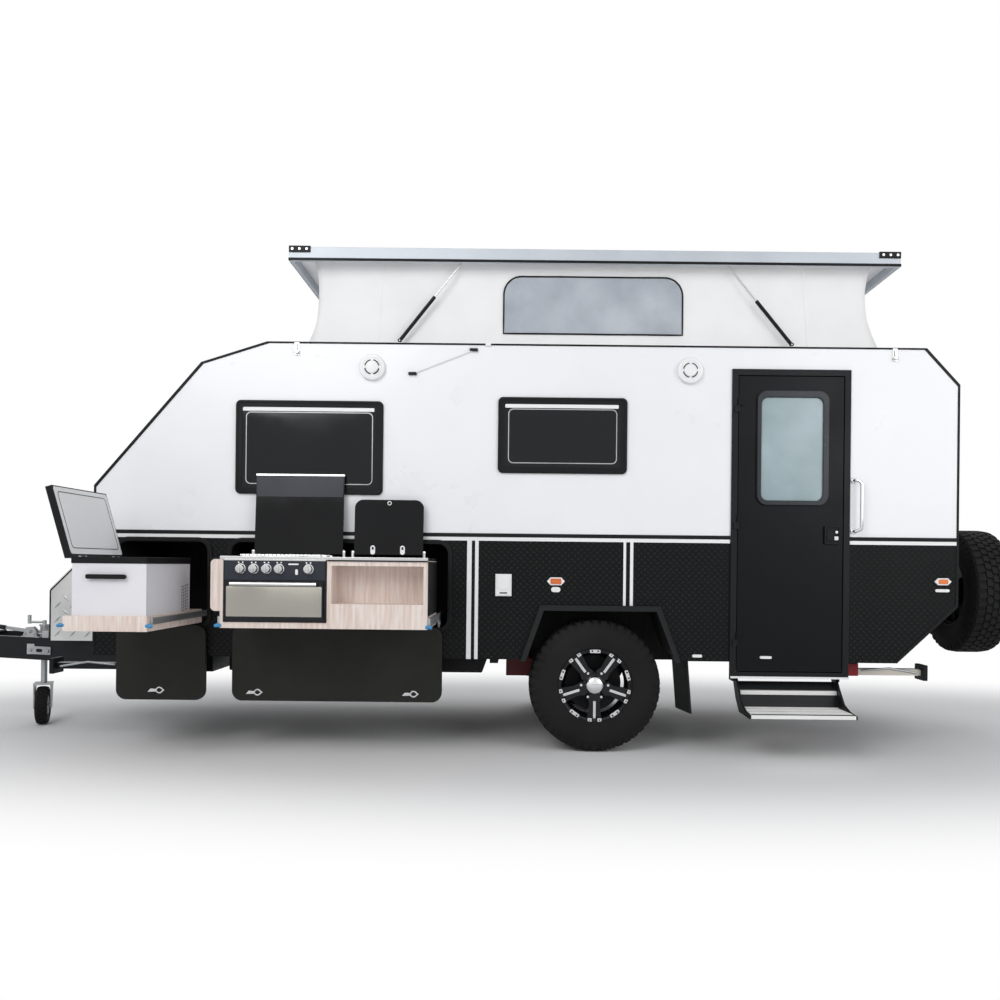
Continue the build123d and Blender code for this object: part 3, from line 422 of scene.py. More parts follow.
    # Clear vinyl film: grey, uneven.
    FILM = Finish("vinyl_film_clear", "canvas", "C2C8D0", 0.16, pattern=Pattern.SPRAYED, pitch=70,
                  depth=1.4, second="A3AAB4", clear=0.1, coat=0.4)
    # White moulded plastic: clean, satin.
    ABS_WHITE = Finish("abs_moulded_white", "white_plastic", "F3F3F3", 0.35,
                       pattern=Pattern.MOULDED, pitch=2.5, depth=0.03, second="EFEFEF")
    # White fridge shell: a faint lilac grey.
    FRIDGE_WHITE = Finish("abs_moulded_fridge_white", "fridge_white", "E6E5E9", 0.36,
                          pattern=Pattern.MOULDED, pitch=2.5, depth=0.03, second="E1E0E5")
    # Clear amber lens: saturated, glossy.
    AMBER = Finish("polycarbonate_amber", "amber", "E8792B", 0.12, pitch=6, depth=0.2,
                   second="D2631A", coat=0.5)
    # Clear red lens: saturated, glossy.
    RED_LENS = Finish("polycarbonate_red", "red_lens", "A81418", 0.12, pitch=6, depth=0.2,
                      second="8E0F12", coat=0.5)
    # Slate enamel: the oven's control panel.
    SLATE = Finish("steel_enamelled_slate", "oven_steel", "262A33", 0.32, pattern=Pattern.SPRAYED,
                   pitch=6, depth=0.03, second="2B2F38", shine=0.3)
    # Blue nylon: small levers.
    NYLON_BLUE = Finish("nylon_moulded_blue", "white_plastic", "2F8DC4", 0.35,
                        pattern=Pattern.MOULDED, pitch=2, depth=0.03, second="277CB0")


def rounded(
    x0: float, x1: float, z0: float, z1: float, radius: float, steps: int = 6
) -> list[Pair]:
    """Draws a rectangle with round corners.

    Args:
        x0: Left edge.
        x1: Right edge.
        z0: Lower edge.
        z1: Upper edge.
        radius: Corner radius.
        steps: Chords to a corner.

    Returns:
        The outline, anticlockwise.
    """
    corners = ((x1 - radius, z0 + radius, -90), (x1 - radius, z1 - radius, 0),
               (x0 + radius, z1 - radius, 90), (x0 + radius, z0 + radius, 180))
    return [
        (cx + radius * math.cos(math.radians(start + 90 * i / steps)),
         cz + radius * math.sin(math.radians(start + 90 * i / steps)))
        for cx, cz, start in corners
        for i in range(steps + 1)
    ]


class Axis(Enum):
    """The direction that a flat outline is drawn out along."""

    X = 0
    Y = 1
    Z = 2

    def point(self, flat: Pair, along: float) -> Triple:
        """Puts a flat point at a distance along the axis."""
        spots = list(flat)
        spots.insert(self.value, along)
        return (spots[0], spots[1], spots[2])


class Shape:
    """Gathers the forms of one piece, in mm, before it becomes a mesh."""

    def __init__(self) -> None:
        """Starts with nothing."""
        self.mesh = bmesh.new()

    def prism(self, outline: Sequence[Pair], axis: Axis, low: float, high: float) -> Shape:
        """Draws a flat outline out along an axis, with both ends closed.

        Args:
            outline: The outline's corners.
            axis: The direction.
            low: Where it starts.
            high: Where it ends.

        Returns:
            This shape.
        """
        ends = [[self.mesh.verts.new(axis.point(p, at)) for p in outline] for at in (low, high)]
        count = len(outline)
        for i in range(count):
            j = (i + 1) % count
            self.mesh.faces.new((ends[0][i], ends[0][j], ends[1][j], ends[1][i]))
        for end in ends:
            self.mesh.faces.new(end)
        return self

    def box(self, x: Pair, y: Pair, z: Pair) -> Shape:
        """Adds a block between two values on each axis."""
        return self.prism([(x[0], z[0]), (x[1], z[0]), (x[1], z[1]), (x[0], z[1])], Axis.Y, *y)

    def ring(
        self, outer: Sequence[Pair], inner: Sequence[Pair], axis: Axis, low: float, high: float
    ) -> Shape:
        """Adds a flat frame between two outlines with as many corners.

        Args:
            outer: The outer outline.
            inner: The inner outline.
            axis: The direction of its thickness.
            low: Where it starts.
            high: Where it ends.

        Returns:
            This shape.
        """
        loops = [
            [self.mesh.verts.new(axis.point(p, at)) for p in line]
            for line, at in ((outer, low), (outer, high), (inner, high), (inner, low))
        ]
        count = len(outer)
        for a, b in ((0, 1), (1, 2), (2, 3), (3, 0)):
            for i in range(count):
                j = (i + 1) % count
                self.mesh.faces.new((loops[a][i], loops[a][j], loops[b][j], loops[b][i]))
        return self

    def tube(
        self, path: Sequence[Triple], radius: float | Sequence[float], sides: int = 14,
        closed: bool = False,
    ) -> Shape:
        """Adds a round bar along a path.

        Args:
            path: The points of its middle line.
            radius: One radius, or one for each point.
            sides: Sides to a turn.
            closed: Whether the path joins up.

        Returns:
            This shape.
        """
        points = [Vector(p) for p in path]
        radii = list(radius) if isinstance(radius, Sequence) else [radius] * len(points)
        count = len(points)
        side = Vector()
        rings = []
        for i, point in enumerate(points):
            after = points[(i + 1) % count] if closed or i < count - 1 else point
            before = points[i - 1] if closed or i > 0 else point
            run = (after - before).normalized()
            if not side.length:
                side = run.orthogonal().normalized()
            side = (side - run * side.dot(run)).normalized()
            other = run.cross(side)
            turns = [2 * math.pi * k / sides for k in range(sides)]
            around = [side * math.cos(t) + other * math.sin(t) for t in turns]
            rings.append([self.mesh.verts.new(point + way * radii[i]) for way in around])
        for i in range(count if closed else count - 1):
            first, second = rings[i], rings[(i + 1) % count]
            for k in range(sides):
                m = (k + 1) % sides
                self.mesh.faces.new((first[k], first[m], second[m], second[k]))
        if not closed:
            self.mesh.faces.new(rings[0])
            self.mesh.faces.new(rings[-1])
        return self

    def lathe(self, profile: Sequence[Pair], centre: Triple, axis: Axis = Axis.Y, sides: int = 48,
              shut: bool = False) -> Shape:
        """Turns a profile about an axis.

        Args:
            profile: Radius and distance along the axis, point by point. Radius 0 closes an end.
            centre: A point of the axis.
            axis: The axis.
            sides: Sides to a turn.
            shut: Whether the last point joins the first.

        Returns:
            This shape.
        """
        rings = []
        middle = Vector(centre)
        for radius, along in profile:
            spots = [
                axis.point((radius * math.cos(t), radius * math.sin(t)), along)
                for t in (2 * math.pi * k / sides for k in range(sides if radius else 1))
            ]
            rings.append([self.mesh.verts.new(middle + Vector(s)) for s in spots])
        pairs = list(zip(rings, rings[1:]))
        if shut:
            pairs.append((rings[-1], rings[0]))
        for first, second in pairs:
            for k in range(sides):
                m = (k + 1) % sides
                loop = [
                    first[k % len(first)], first[m % len(first)],
                    second[m % len(second)], second[k % len(second)],
                ]
                corners = list(dict.fromkeys(loop))
                if len(corners) > 2:
                    self.mesh.faces.new(corners)
        return self

    def turned(self, matrix: Matrix) -> Shape:
        """Moves all that is there so far."""
        bmesh.ops.transform(self.mesh, matrix=matrix, verts=self.mesh.verts)
        return self

    def copied(self, matrices: Sequence[Matrix]) -> Shape:
        """Puts a copy of all that is there so far at each of these places, in its stead."""
        source = self.mesh.copy()
        self.mesh.clear()
        for matrix in matrices:
            part = source.copy()
            bmesh.ops.transform(part, matrix=matrix, verts=part.verts)
            self._take(part)
        source.free()
        return self

    def joined(self, other: Shape) -> Shape:
        """Takes in another shape, which is used up."""
        self._take(other.mesh)
        return self

    def _take(self, part: bmesh.types.BMesh) -> None:
        """Adds a mesh to this one and frees it."""
        held = bpy.data.meshes.new("held")
        part.to_mesh(held)
        part.free()
        self.mesh.from_mesh(held)
        bpy.data.meshes.remove(held)

    def mirrored(self) -> Shape:
        """Adds the far side's copy."""
        return self.copied([Matrix.Identity(4), Matrix.Scale(-1, 4, (0, 1, 0))])

    def piece(
        self, name: str, finish: Finish, body: str = ROOT, bevel: float = 0.0, angle: float = 40.0
    ) -> bpy.types.Object:
        """Makes the mesh object, in metres, and lets it ride on a body.

        Args:
            name: The piece's name.
            finish: Its finish.
            body: The body that it moves with.
            bevel: Width of its rounded edges.
            angle: Edges sharper than this stay crisp, in degrees.

        Returns:
            The object.
        """
        bmesh.ops.recalc_face_normals(self.mesh, faces=self.mesh.faces)
        bmesh.ops.transform(self.mesh, matrix=ROW, verts=self.mesh.verts)
        data = bpy.data.meshes.new(name)
        self.mesh.to_mesh(data)
        self.mesh.free()
        made = bpy.data.objects.new(name, data)
        bpy.context.scene.collection.objects.link(made)
        data.materials.append(finish.material())
        data.shade_smooth()
        data.set_sharp_from_angle(angle=math.radians(angle))
        if bevel:
            round_edges(made, bevel)
        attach(made, body)
        LOG.info("%s: %d faces on %s", name, len(data.polygons), body)
        return made


def round_edges(item: bpy.types.Object, width: float) -> None:
    """Rounds an object's sharp edges.

    Args:
        item: The object.
        width: The rounding, in mm.
    """
    bevel = item.modifiers.new("edges", "BEVEL")
    bevel.width = width * MM
    bevel.segments = 2
    bevel.limit_method = "ANGLE"
    bevel.angle_limit = math.radians(35)
    bevel.harden_normals = True


def pose(spot: Triple, degrees: float, axis: str) -> Matrix:
    """Gives the matrix that turns a shape about an axis and then moves it to a spot."""
    return Matrix.Translation(spot) @ Matrix.Rotation(math.radians(degrees), 4, axis)


def spun(count: int, centre: Triple, axis: str, start: float = 0.0) -> list[Matrix]:
    """Gives equal turns about an axis through a point.

    Args:
        count: How many.
        centre: The point.
        axis: X, Y or Z.
        start: The first turn, in degrees.

    Returns:
        One matrix for each turn.
    """
    to, back = Matrix.Translation(centre), Matrix.Translation(-Vector(centre))
    return [
        to @ Matrix.Rotation(math.radians(start + 360 * i / count), 4, axis) @ back
        for i in range(count)
    ]


@dataclass
class Shell:
    """The walls' edge trims, belt lines, stripes and small wall fittings."""

    half: float = WALL
    outline: tuple[Pair, ...] = (
        (-3018, 603), (-3018, 1582), (-2383, 2327), (-1988, 2455), (1962, 2455), (2164, 2237),
        (2164, 905), (1800, 563),
    )
    trim: float = 12.0
    belt: float = 1296.0
    moulding: float = 5.0  # the belt moulding's thickness
    line: float = 3.0  # the white lines' thickness
    stripes: tuple[tuple[Pair, Pair], ...] = (
        ((-780, -752), (563, 1273)), ((-732, -711), (563, 1273)), ((158, 174), (892, 1273)),
        ((198, 217), (892, 1273)),
    )
    door: Pair = (799.0, 1511.0)
    lamp_x: Pair = (-1358.0, 544.0)
    lamp_z: float = 2303.0
    markers: tuple[Edges, ...] = ((-300, -192, 1011, 1058), (2022, 2123, 1035, 1077))
    reflectors: tuple[Edges, ...] = (
        (-274, -218, 969, 1000), (2030, 2115, 993, 1011), (576, 636, 586, 604)
    )

    def build(self) -> None:
        """Adds every piece of the shell."""
        self.edges()
        self.lines()
        self.lamps()
        self.small_fittings()
        self.side_markers()

    def edges(self) -> None:
        """Runs the black edge trim round both side walls."""
        shape = Shape()
        middle, face, trim = (-400.0, 1500.0), -self.half, self.trim * 0.8
        inset = [
            (x + math.copysign(trim, middle[0] - x), z + math.copysign(trim, middle[1] - z))
            for x, z in self.outline
        ]
        proud = [
            (x - math.copysign(4, middle[0] - x), z - math.copysign(1, middle[1] - z))
            for x, z in self.outline
        ]
        for i in range(len(proud) - 1):
            strip = [proud[i], proud[i + 1], inset[i + 1], inset[i]]
            shape.prism(strip, Axis.Y, face - 4, face + 16)
        shape.mirrored().piece("wall_edge_trims", Finishes.ABS_BLACK, bevel=1)

    def lines(self) -> None:
        """Adds the belt's dark moulding, its white line and the upright white pairs."""
        dark, white = Shape(), Shape()
        high, low = (self.belt, self.belt + 22), (self.belt - 23, self.belt - 1)
        front, rear = self.outline[0][0], self.outline[5][0]
        ends = (front + 4, rear - 4)
        gaps = {-1: ((ends[0], self.door[0] - 2), (self.door[1] + 2, ends[1])), 1: (ends,)}
        for side, runs in gaps.items():
            for run in runs:
                dark.box(run, span(side * self.half, side * (self.half + self.moulding)), high)
                white.box(run, span(side * self.half, side * (self.half + self.line)), low)
        across = (-self.half + 4, self.half - 4)
        for shape, thick, height in ((dark, self.moulding, high), (white, self.line, low)):
            shape.box((front - thick, front), across, height)
            shape.box((rear, rear + thick), across, height)
        for run, height in self.stripes:
            for side in SIDES:
                white.box(run, span(side * self.half, side * (self.half + self.line)), height)
        dark.piece("belt_moulding", Finishes.ABS_BLACK, bevel=1.5)
        white.piece("white_lines", Finishes.ABS_WHITE, bevel=0.6)

    def lamps(self) -> None:
        """Gives the round wall lamps their stepped bezel, dome and broken black ring."""
        bezel, ring = Shape(), Shape()
        dome = [(78, 0), (78, -20), (72, -29), (58, -31), (54, -28), (40, -29), (36, -36), (0, -42)]
        y, z, radius = -self.half, self.lamp_z, 43
        for x in self.lamp_x:
            bezel.lathe(dome, (x, y, z))
            for k in range(4):
                turns = [math.radians(12 + 90 * k + 66 * i / 10) for i in range(11)]
                arc = [(x + radius * math.cos(t), y - 30, z + radius * math.sin(t)) for t in turns]
                ring.tube(arc, 2.8, 8)
        bezel.piece("wall_lamp_bezels", Finishes.ABS_WHITE)
        ring.piece("wall_lamp_rings", Finishes.ABS_BLACK)

    def small_fittings(self) -> None:
        """Adds the awning bar, the roof's latches, the inlet's cover and the white reflectors."""
        out = -self.half
        white, dark, bright = Shape(), Shape(), Shape()
        white.tube([(-1110, out - 8, 2272), (-760, out - 8, 2412)], 4, 12)
        for x, z in ((-1118, 2270), (-752, 2416)):
            dark.box((x - 24, x + 24), (out - 18, out), (z - 8, z + 8))
        white.box((-682, -650), (out - 12, out), (2440, 2462))
        for x in (-1812.0, 1773.0):
            bright.box((x - 14, x + 14), (out - 8, out), (2374, 2450))
            bright.tube([(x, out - 14, 2380), (x, out - 20, 2410), (x, out - 14, 2444)], 5, 10)
            bright.lathe([(14, 0), (14, -14), (9, -18), (0, -18)], (x, out - 6, 2392), sides=20)
        white.prism(rounded(-604, -515, 948, 1070, 14), Axis.Y, out - 31, out - 24)
        white.prism(rounded(-596, -523, 985, 1062, 10), Axis.Y, out - 36, out - 30)
        dark.box((-582, -537), (out - 32, out - 30), (958, 966))
        for x0, x1, z0, z1 in self.reflectors:
            white.prism(rounded(x0, x1, z0, z1, (z1 - z0) / 2 - 0.1), Axis.Y, out - 6, out)
        white.piece("white_wall_fittings", Finishes.ABS_WHITE, bevel=1.2)
        dark.piece("dark_wall_fittings", Finishes.ABS_BLACK, bevel=1)
        bright.piece("roof_latches", Finishes.STAINLESS, bevel=1)

    def side_markers(self) -> None:
        """Adds the side markers' pointed housings and their amber lenses."""
        out, point, rim = -self.half, 22, 7
        housing, lens = Shape(), Shape()
        for x0, x1, z0, z1 in self.markers:
            left, right, middle = x0 + point, x1 - point, (z0 + z1) / 2
            outline = [(x0, middle), (left, z0), (right, z0), (x1, middle), (right, z1), (left, z1)]
            housing.prism(outline, Axis.Y, out - 14, out)
            lens.prism(rounded(left, right, z0 + rim, z1 - rim, 6), Axis.Y, out - 19, out - 13)
        made = housing.mirrored().piece("marker_housings", Finishes.ABS_WHITE, bevel=1.5)
        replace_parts(made, "side_markers")
        lens.mirrored().piece("marker_lenses", Finishes.AMBER, bevel=2)


@dataclass
class Windows:
    """The side windows' frame lips, the lines on their panes and their blinds' rails."""

    openings: tuple[Edges, ...] = ((-2172, -1290, 1540, 2101), (-602, 172, 1680, 2135))
    half: float = WALL
    flange: float = 39.0

    def build(self) -> None:
        """Adds the pieces that show in and behind the panes."""
        lines, blinds, lips = Shape(), Shape(), Shape()
        y, f = -self.half, self.flange
        for x0, x1, z0, z1 in self.openings:
            left, right, foot, head = x0 + f, x1 - f, z0 + f, z1 - f
            lines.ring(
                rounded(left + 22, right - 22, foot + 20, head - 30, 30),
                rounded(left + 27, right - 27, foot + 25, head - 35, 26), Axis.Y, y - 13.2, y - 12,
            )
            lips.ring(
                rounded(x0 + 4, x1 - 4, z0 + 4, z1 - 4, 27),
                rounded(x0 + 16, x1 - 16, z0 + 16, z1 - 16, 22), Axis.Y, y - 19, y - 14,
            )
            blinds.prism(
                rounded(left + 3, right - 14, head - 25, head - 3, 5), Axis.Y, y - 14, y - 11
            )
        lines.mirrored().piece("window_pane_lines", Finishes.GALVANISED)
        lips.mirrored().piece("window_frame_lips", Finishes.ABS_BLACK, bevel=1.5)
        blinds.mirrored().piece("window_blind_rails", Finishes.ABS_WHITE, bevel=0.8)


@dataclass
class EntryDoor:
    """The entry door's fittings, which swing with it, and the sill and grab rail beside it."""

    face: float = -1108.0
    body: str = "door"

    def build(self) -> None:
        """Adds the door's pieces."""
        y = self.face
        lock, bright, white = Shape(), Shape(), Shape()
        lock.ring(
            rounded(1356, 1450, 1274, 1382, 12), rounded(1364, 1442, 1282, 1374, 8),
            Axis.Y, y - 16, y - 9,
        )
        lock.prism(rounded(1372, 1412, 1296, 1362, 6), Axis.Y, y - 14, y - 9)
        bright.lathe([(9, 0), (9, -7), (7, -9), (0, -9)], (1428, y - 10, 1345), sides=20)
        bright.prism(rounded(1416, 1440, 1298, 1320, 4), Axis.Y, y - 13, y - 9)
        white.prism(rounded(978, 1048, 584, 600, 7.5), Axis.Y, y - 16, y + 1)
        lock.piece("door_lock_plate", Finishes.ABS_BLACK, self.body, bevel=1)
        bright.piece("door_lock", Finishes.CHROME, self.body, bevel=0.8)
        white.piece("door_foot_handle", Finishes.ABS_WHITE, self.body, bevel=2)
        rim = Shape()
        rim.ring(
            rounded(949, 1379, 1503, 2190, 60), rounded(974, 1342, 1532, 2148, 40),
            Axis.Y, y - 16, y - 7,
        )
        rim.piece("door_window_bead", Finishes.BEAD, self.body, bevel=5)
        self.grab_rail()
        sill = Shape().box((803, 1507), (-1120, -1112), (466, 478))
        sill.piece("door_sill", Finishes.ABS_WHITE, bevel=1)

    def grab_rail(self) -> None:
        """Bends the chromed grab rail beside the door from one round tube."""
        side, foot, top, wall, radius = 1535.0, 1352.0, 1656.0, -WALL, 26.0
        path = [(side, wall, foot), (side, wall - 34, foot)]
        for i in range(7):
            a = math.radians(15 * i)
            out, rise = math.sin(a), 1 - math.cos(a)
            path.append((side + 30 * out, wall - 34 - 21 * out, foot + radius * rise))
        path += [(x, y, foot + top - z) for x, y, z in reversed(path)]
        rail = Shape().tube(path, 10.5, 16)
        for z in (foot, top):
            rail.lathe([(19, 0), (19, -5), (15, -8), (0, -8)], (side, wall, z), sides=28)
        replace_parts(rail.piece("grab_rail_bent", Finishes.CHROME, angle=60), "grab_handle")


@dataclass
class PopTop:
    """The lifting roof's lip, lining and brackets, and the canvas under it."""

    lid: Edges = (-1869.0, 1806.0, 2945.0, 3028.0)
    half: float = 1095.0
    cloth: Triple = (-1775.0, 1720.0, 1000.0)
    taper: Pair = (35.0, 55.0)
    base: float = 2455.0
    top: float = 3003.0
    keep: float = 0.08
    joint: str = "pop_top_lower"
    body: str = "pop_top_body"
    window: Edges = (-578.0, 515.0, 2544.0, 2893.0)
    corner: float = 110.0  # radius of the window's upper corners
    pinch: float = 52.0  # how far the canvas's corners pull in, half-way up
    sag: float = 9.0  # how far its panels do
    rows: int = 24
    count: int = 64  # points to a side

    def build(self) -> None:
        """Adds the roof's pieces and the canvas."""
        self.roof()
        self.canvas()

    def roof(self) -> None:
        """Adds the skirt's dark lower lip, the white lining and the corner brackets."""
        x0, x1, z0, z1 = self.lid
        h = self.half
        lip = Shape().ring(
            [(x0 - 3, -h - 3), (x1 + 3, -h - 3), (x1 + 3, h + 3), (x0 - 3, h + 3)],
            [(x0 + 4, -h + 4), (x1 - 4, -h + 4), (x1 - 4, h - 4), (x0 + 4, h - 4)],
            Axis.Z, z0 + 1, z0 + 17,
        )
        lip.piece("roof_skirt_lip", Finishes.ABS_BLACK, self.body, bevel=1.5)
        lining = Shape().box((x0 + 26, x1 - 26), (-h + 26, h - 26), (self.top - 9, self.top - 1))
        lining.piece("roof_lining", Finishes.GELCOAT, self.body)
        bracket, bolts = Shape(), Shape()
        for end, way in ((x0, 1), (x1, -1)):
            for side in SIDES:
                run, y = span(end, end + way * 130), side * (h + 6)
                bracket.box(run, span(side * h, y), (z1 - 34, z1 + 4))
                bracket.box(run, span(y, side * (h - 60)), (z1, z1 + 5))
                head = [(10, 0), (10, side * 5), (7, side * 8), (0, side * 8)]
                for at in (22, 65, 108):
                    bolts.lathe(head, (end + way * at, y, z1 - 16), sides=6)
        bracket.piece("roof_corner_brackets", Finishes.POWDER, self.body, bevel=1.5)
        bolts.piece("roof_bracket_bolts", Finishes.STAINLESS, self.body, bevel=0.5)

    def ripple(self, x: float, y: float, share: float) -> float:
        """Gives the canvas's small waves at a place, which die out at its foot and top."""
        slack = math.sin(math.pi * share)
        return 4 * slack * math.sin(x / 61 + 2.2 * share) * math.sin(y / 83 + 3.1 * share + x / 240)

    def loop(self, share: float) -> list[Triple]:
        """Walks round the canvas at one height.

        Args:
            share: Height from 0 at the deck to 1 at the roof.

        Returns:
            Points round the canvas.
        """
        x0, x1, half = self.cloth
        x0, x1 = x0 + self.taper[0] * share, x1 - self.taper[1] * share
        corners = [(x0, -half), (x1, -half), (x1, half), (x0, half)]
        z = self.base + share * (self.top - self.base)
        slack = math.sin(math.pi * share)
        points = []
        for k in range(4):
            (ax, ay), (bx, by) = corners[k], corners[(k + 1) % 4]
            for i in range(self.count):
                t = i / self.count
                x, y = ax + (bx - ax) * t, ay + (by - ay) * t
                away = min(t, 1 - t) * math.dist((ax, ay), (bx, by))
                pull = self.pinch * slack * math.exp(-away / 95) + self.sag * slack
                middle = (x0 + x1) / 2
                inward = Vector((-x + middle, -y, 0)).normalized()
                face = Vector((0, -math.copysign(1, y), 0))
                if k in (1, 3):
                    face = Vector((math.copysign(1, middle - x), 0, 0))
                bend = face.lerp(inward, math.exp(-away / 90)).normalized()
                shift = bend * (pull + self.ripple(x, y, share))
                points.append((x + shift.x, y + shift.y, z))
        return points

    def canvas(self) -> None:
        """Stretches the canvas between the deck and the roof, with its window, edging and seams."""
        shape = Shape()
        shares = [r / self.rows for r in range(self.rows + 1)]
        sheet = [[shape.mesh.verts.new(p) for p in self.loop(share)] for share in shares]
        for low, high in zip(sheet, sheet[1:]):
            for i in range(len(low)):
                j = (i + 1) % len(low)
                shape.mesh.faces.new((low[i], low[j], high[j], high[i]))
        cloth = shape.piece("canvas_walls", Finishes.CANVAS, angle=180)
        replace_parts(cloth, "canvas")
        seams = self.seams()
        film, edging = self.film()
        for item in (cloth, seams, film, edging):
            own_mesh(item)

    def seams(self) -> bpy.types.Object:
        """Sews welt seams up the canvas near its corners and along its foot."""
        shape = Shape()
        loops = [self.loop(r / self.rows) for r in range(self.rows + 1)]
        for side in range(4):
            for index in (self.count // 8, self.count - self.count // 8):
                shape.tube([loop[self.count * side + index] for loop in loops], 3.2, 6)
        shape.tube(self.loop(0.02), 4.5, 6, closed=True)
        return shape.piece("canvas_seams", Finishes.CANVAS)

    def film_depth(self, x: float, z: float) -> float:
        """Follows the canvas where the window lies, a little proud of it."""
        share = (z - self.base) / (self.top - self.base)
        y = -self.cloth[2]
        return y + 3 + self.sag * math.sin(math.pi * share) + self.ripple(x, y, share) - 7

    def film(self) -> tuple[bpy.types.Object, bpy.types.Object]:
        """Sets the clear window and its dark edging in the canvas, on both sides.

        Returns:
            The film and its edging.
        """
        x0, x1, z0, z1 = self.window
        outline = [(x0, z0), (x1, z0)]
        outline += [
            p for p in rounded(x0, x1, z0, z1, self.corner, 10) if p[1] > z0 + self.corner + 5
        ]
        path = []
        for (ax, az), (bx, bz) in zip(outline, outline[1:] + outline[:1]):
            steps = max(1, round(math.dist((ax, az), (bx, bz)) / 60))
            path += [(ax + (bx - ax) * k / steps, az + (bz - az) * k / steps) for k in range(steps)]
        edging = Shape().tube(
            [(x, self.film_depth(x, z) - 1, z) for x, z in path], 5, 8, closed=True
        )
        film, rows, columns = Shape(), 8, 24
        grid = []
        for r in range(rows + 1):
            z = z0 + (z1 - z0) * r / rows
            drop = max(0.0, z - (z1 - self.corner))
            trim = self.corner - math.sqrt(max(0.0, self.corner * self.corner - drop * drop))
            run = [x0 + trim + (x1 - x0 - 2 * trim) * c / columns for c in range(columns + 1)]
            grid.append([film.mesh.verts.new((x, self.film_depth(x, z), z)) for x in run])
        for low, high in zip(grid, grid[1:]):
            for c in range(columns):
                film.mesh.faces.new((low[c], low[c + 1], high[c + 1], high[c]))
        return (
            film.mirrored().piece("canvas_windows", Finishes.FILM, angle=180),
            edging.mirrored().piece("canvas_window_edging", Finishes.ABS_BLACK),
        )


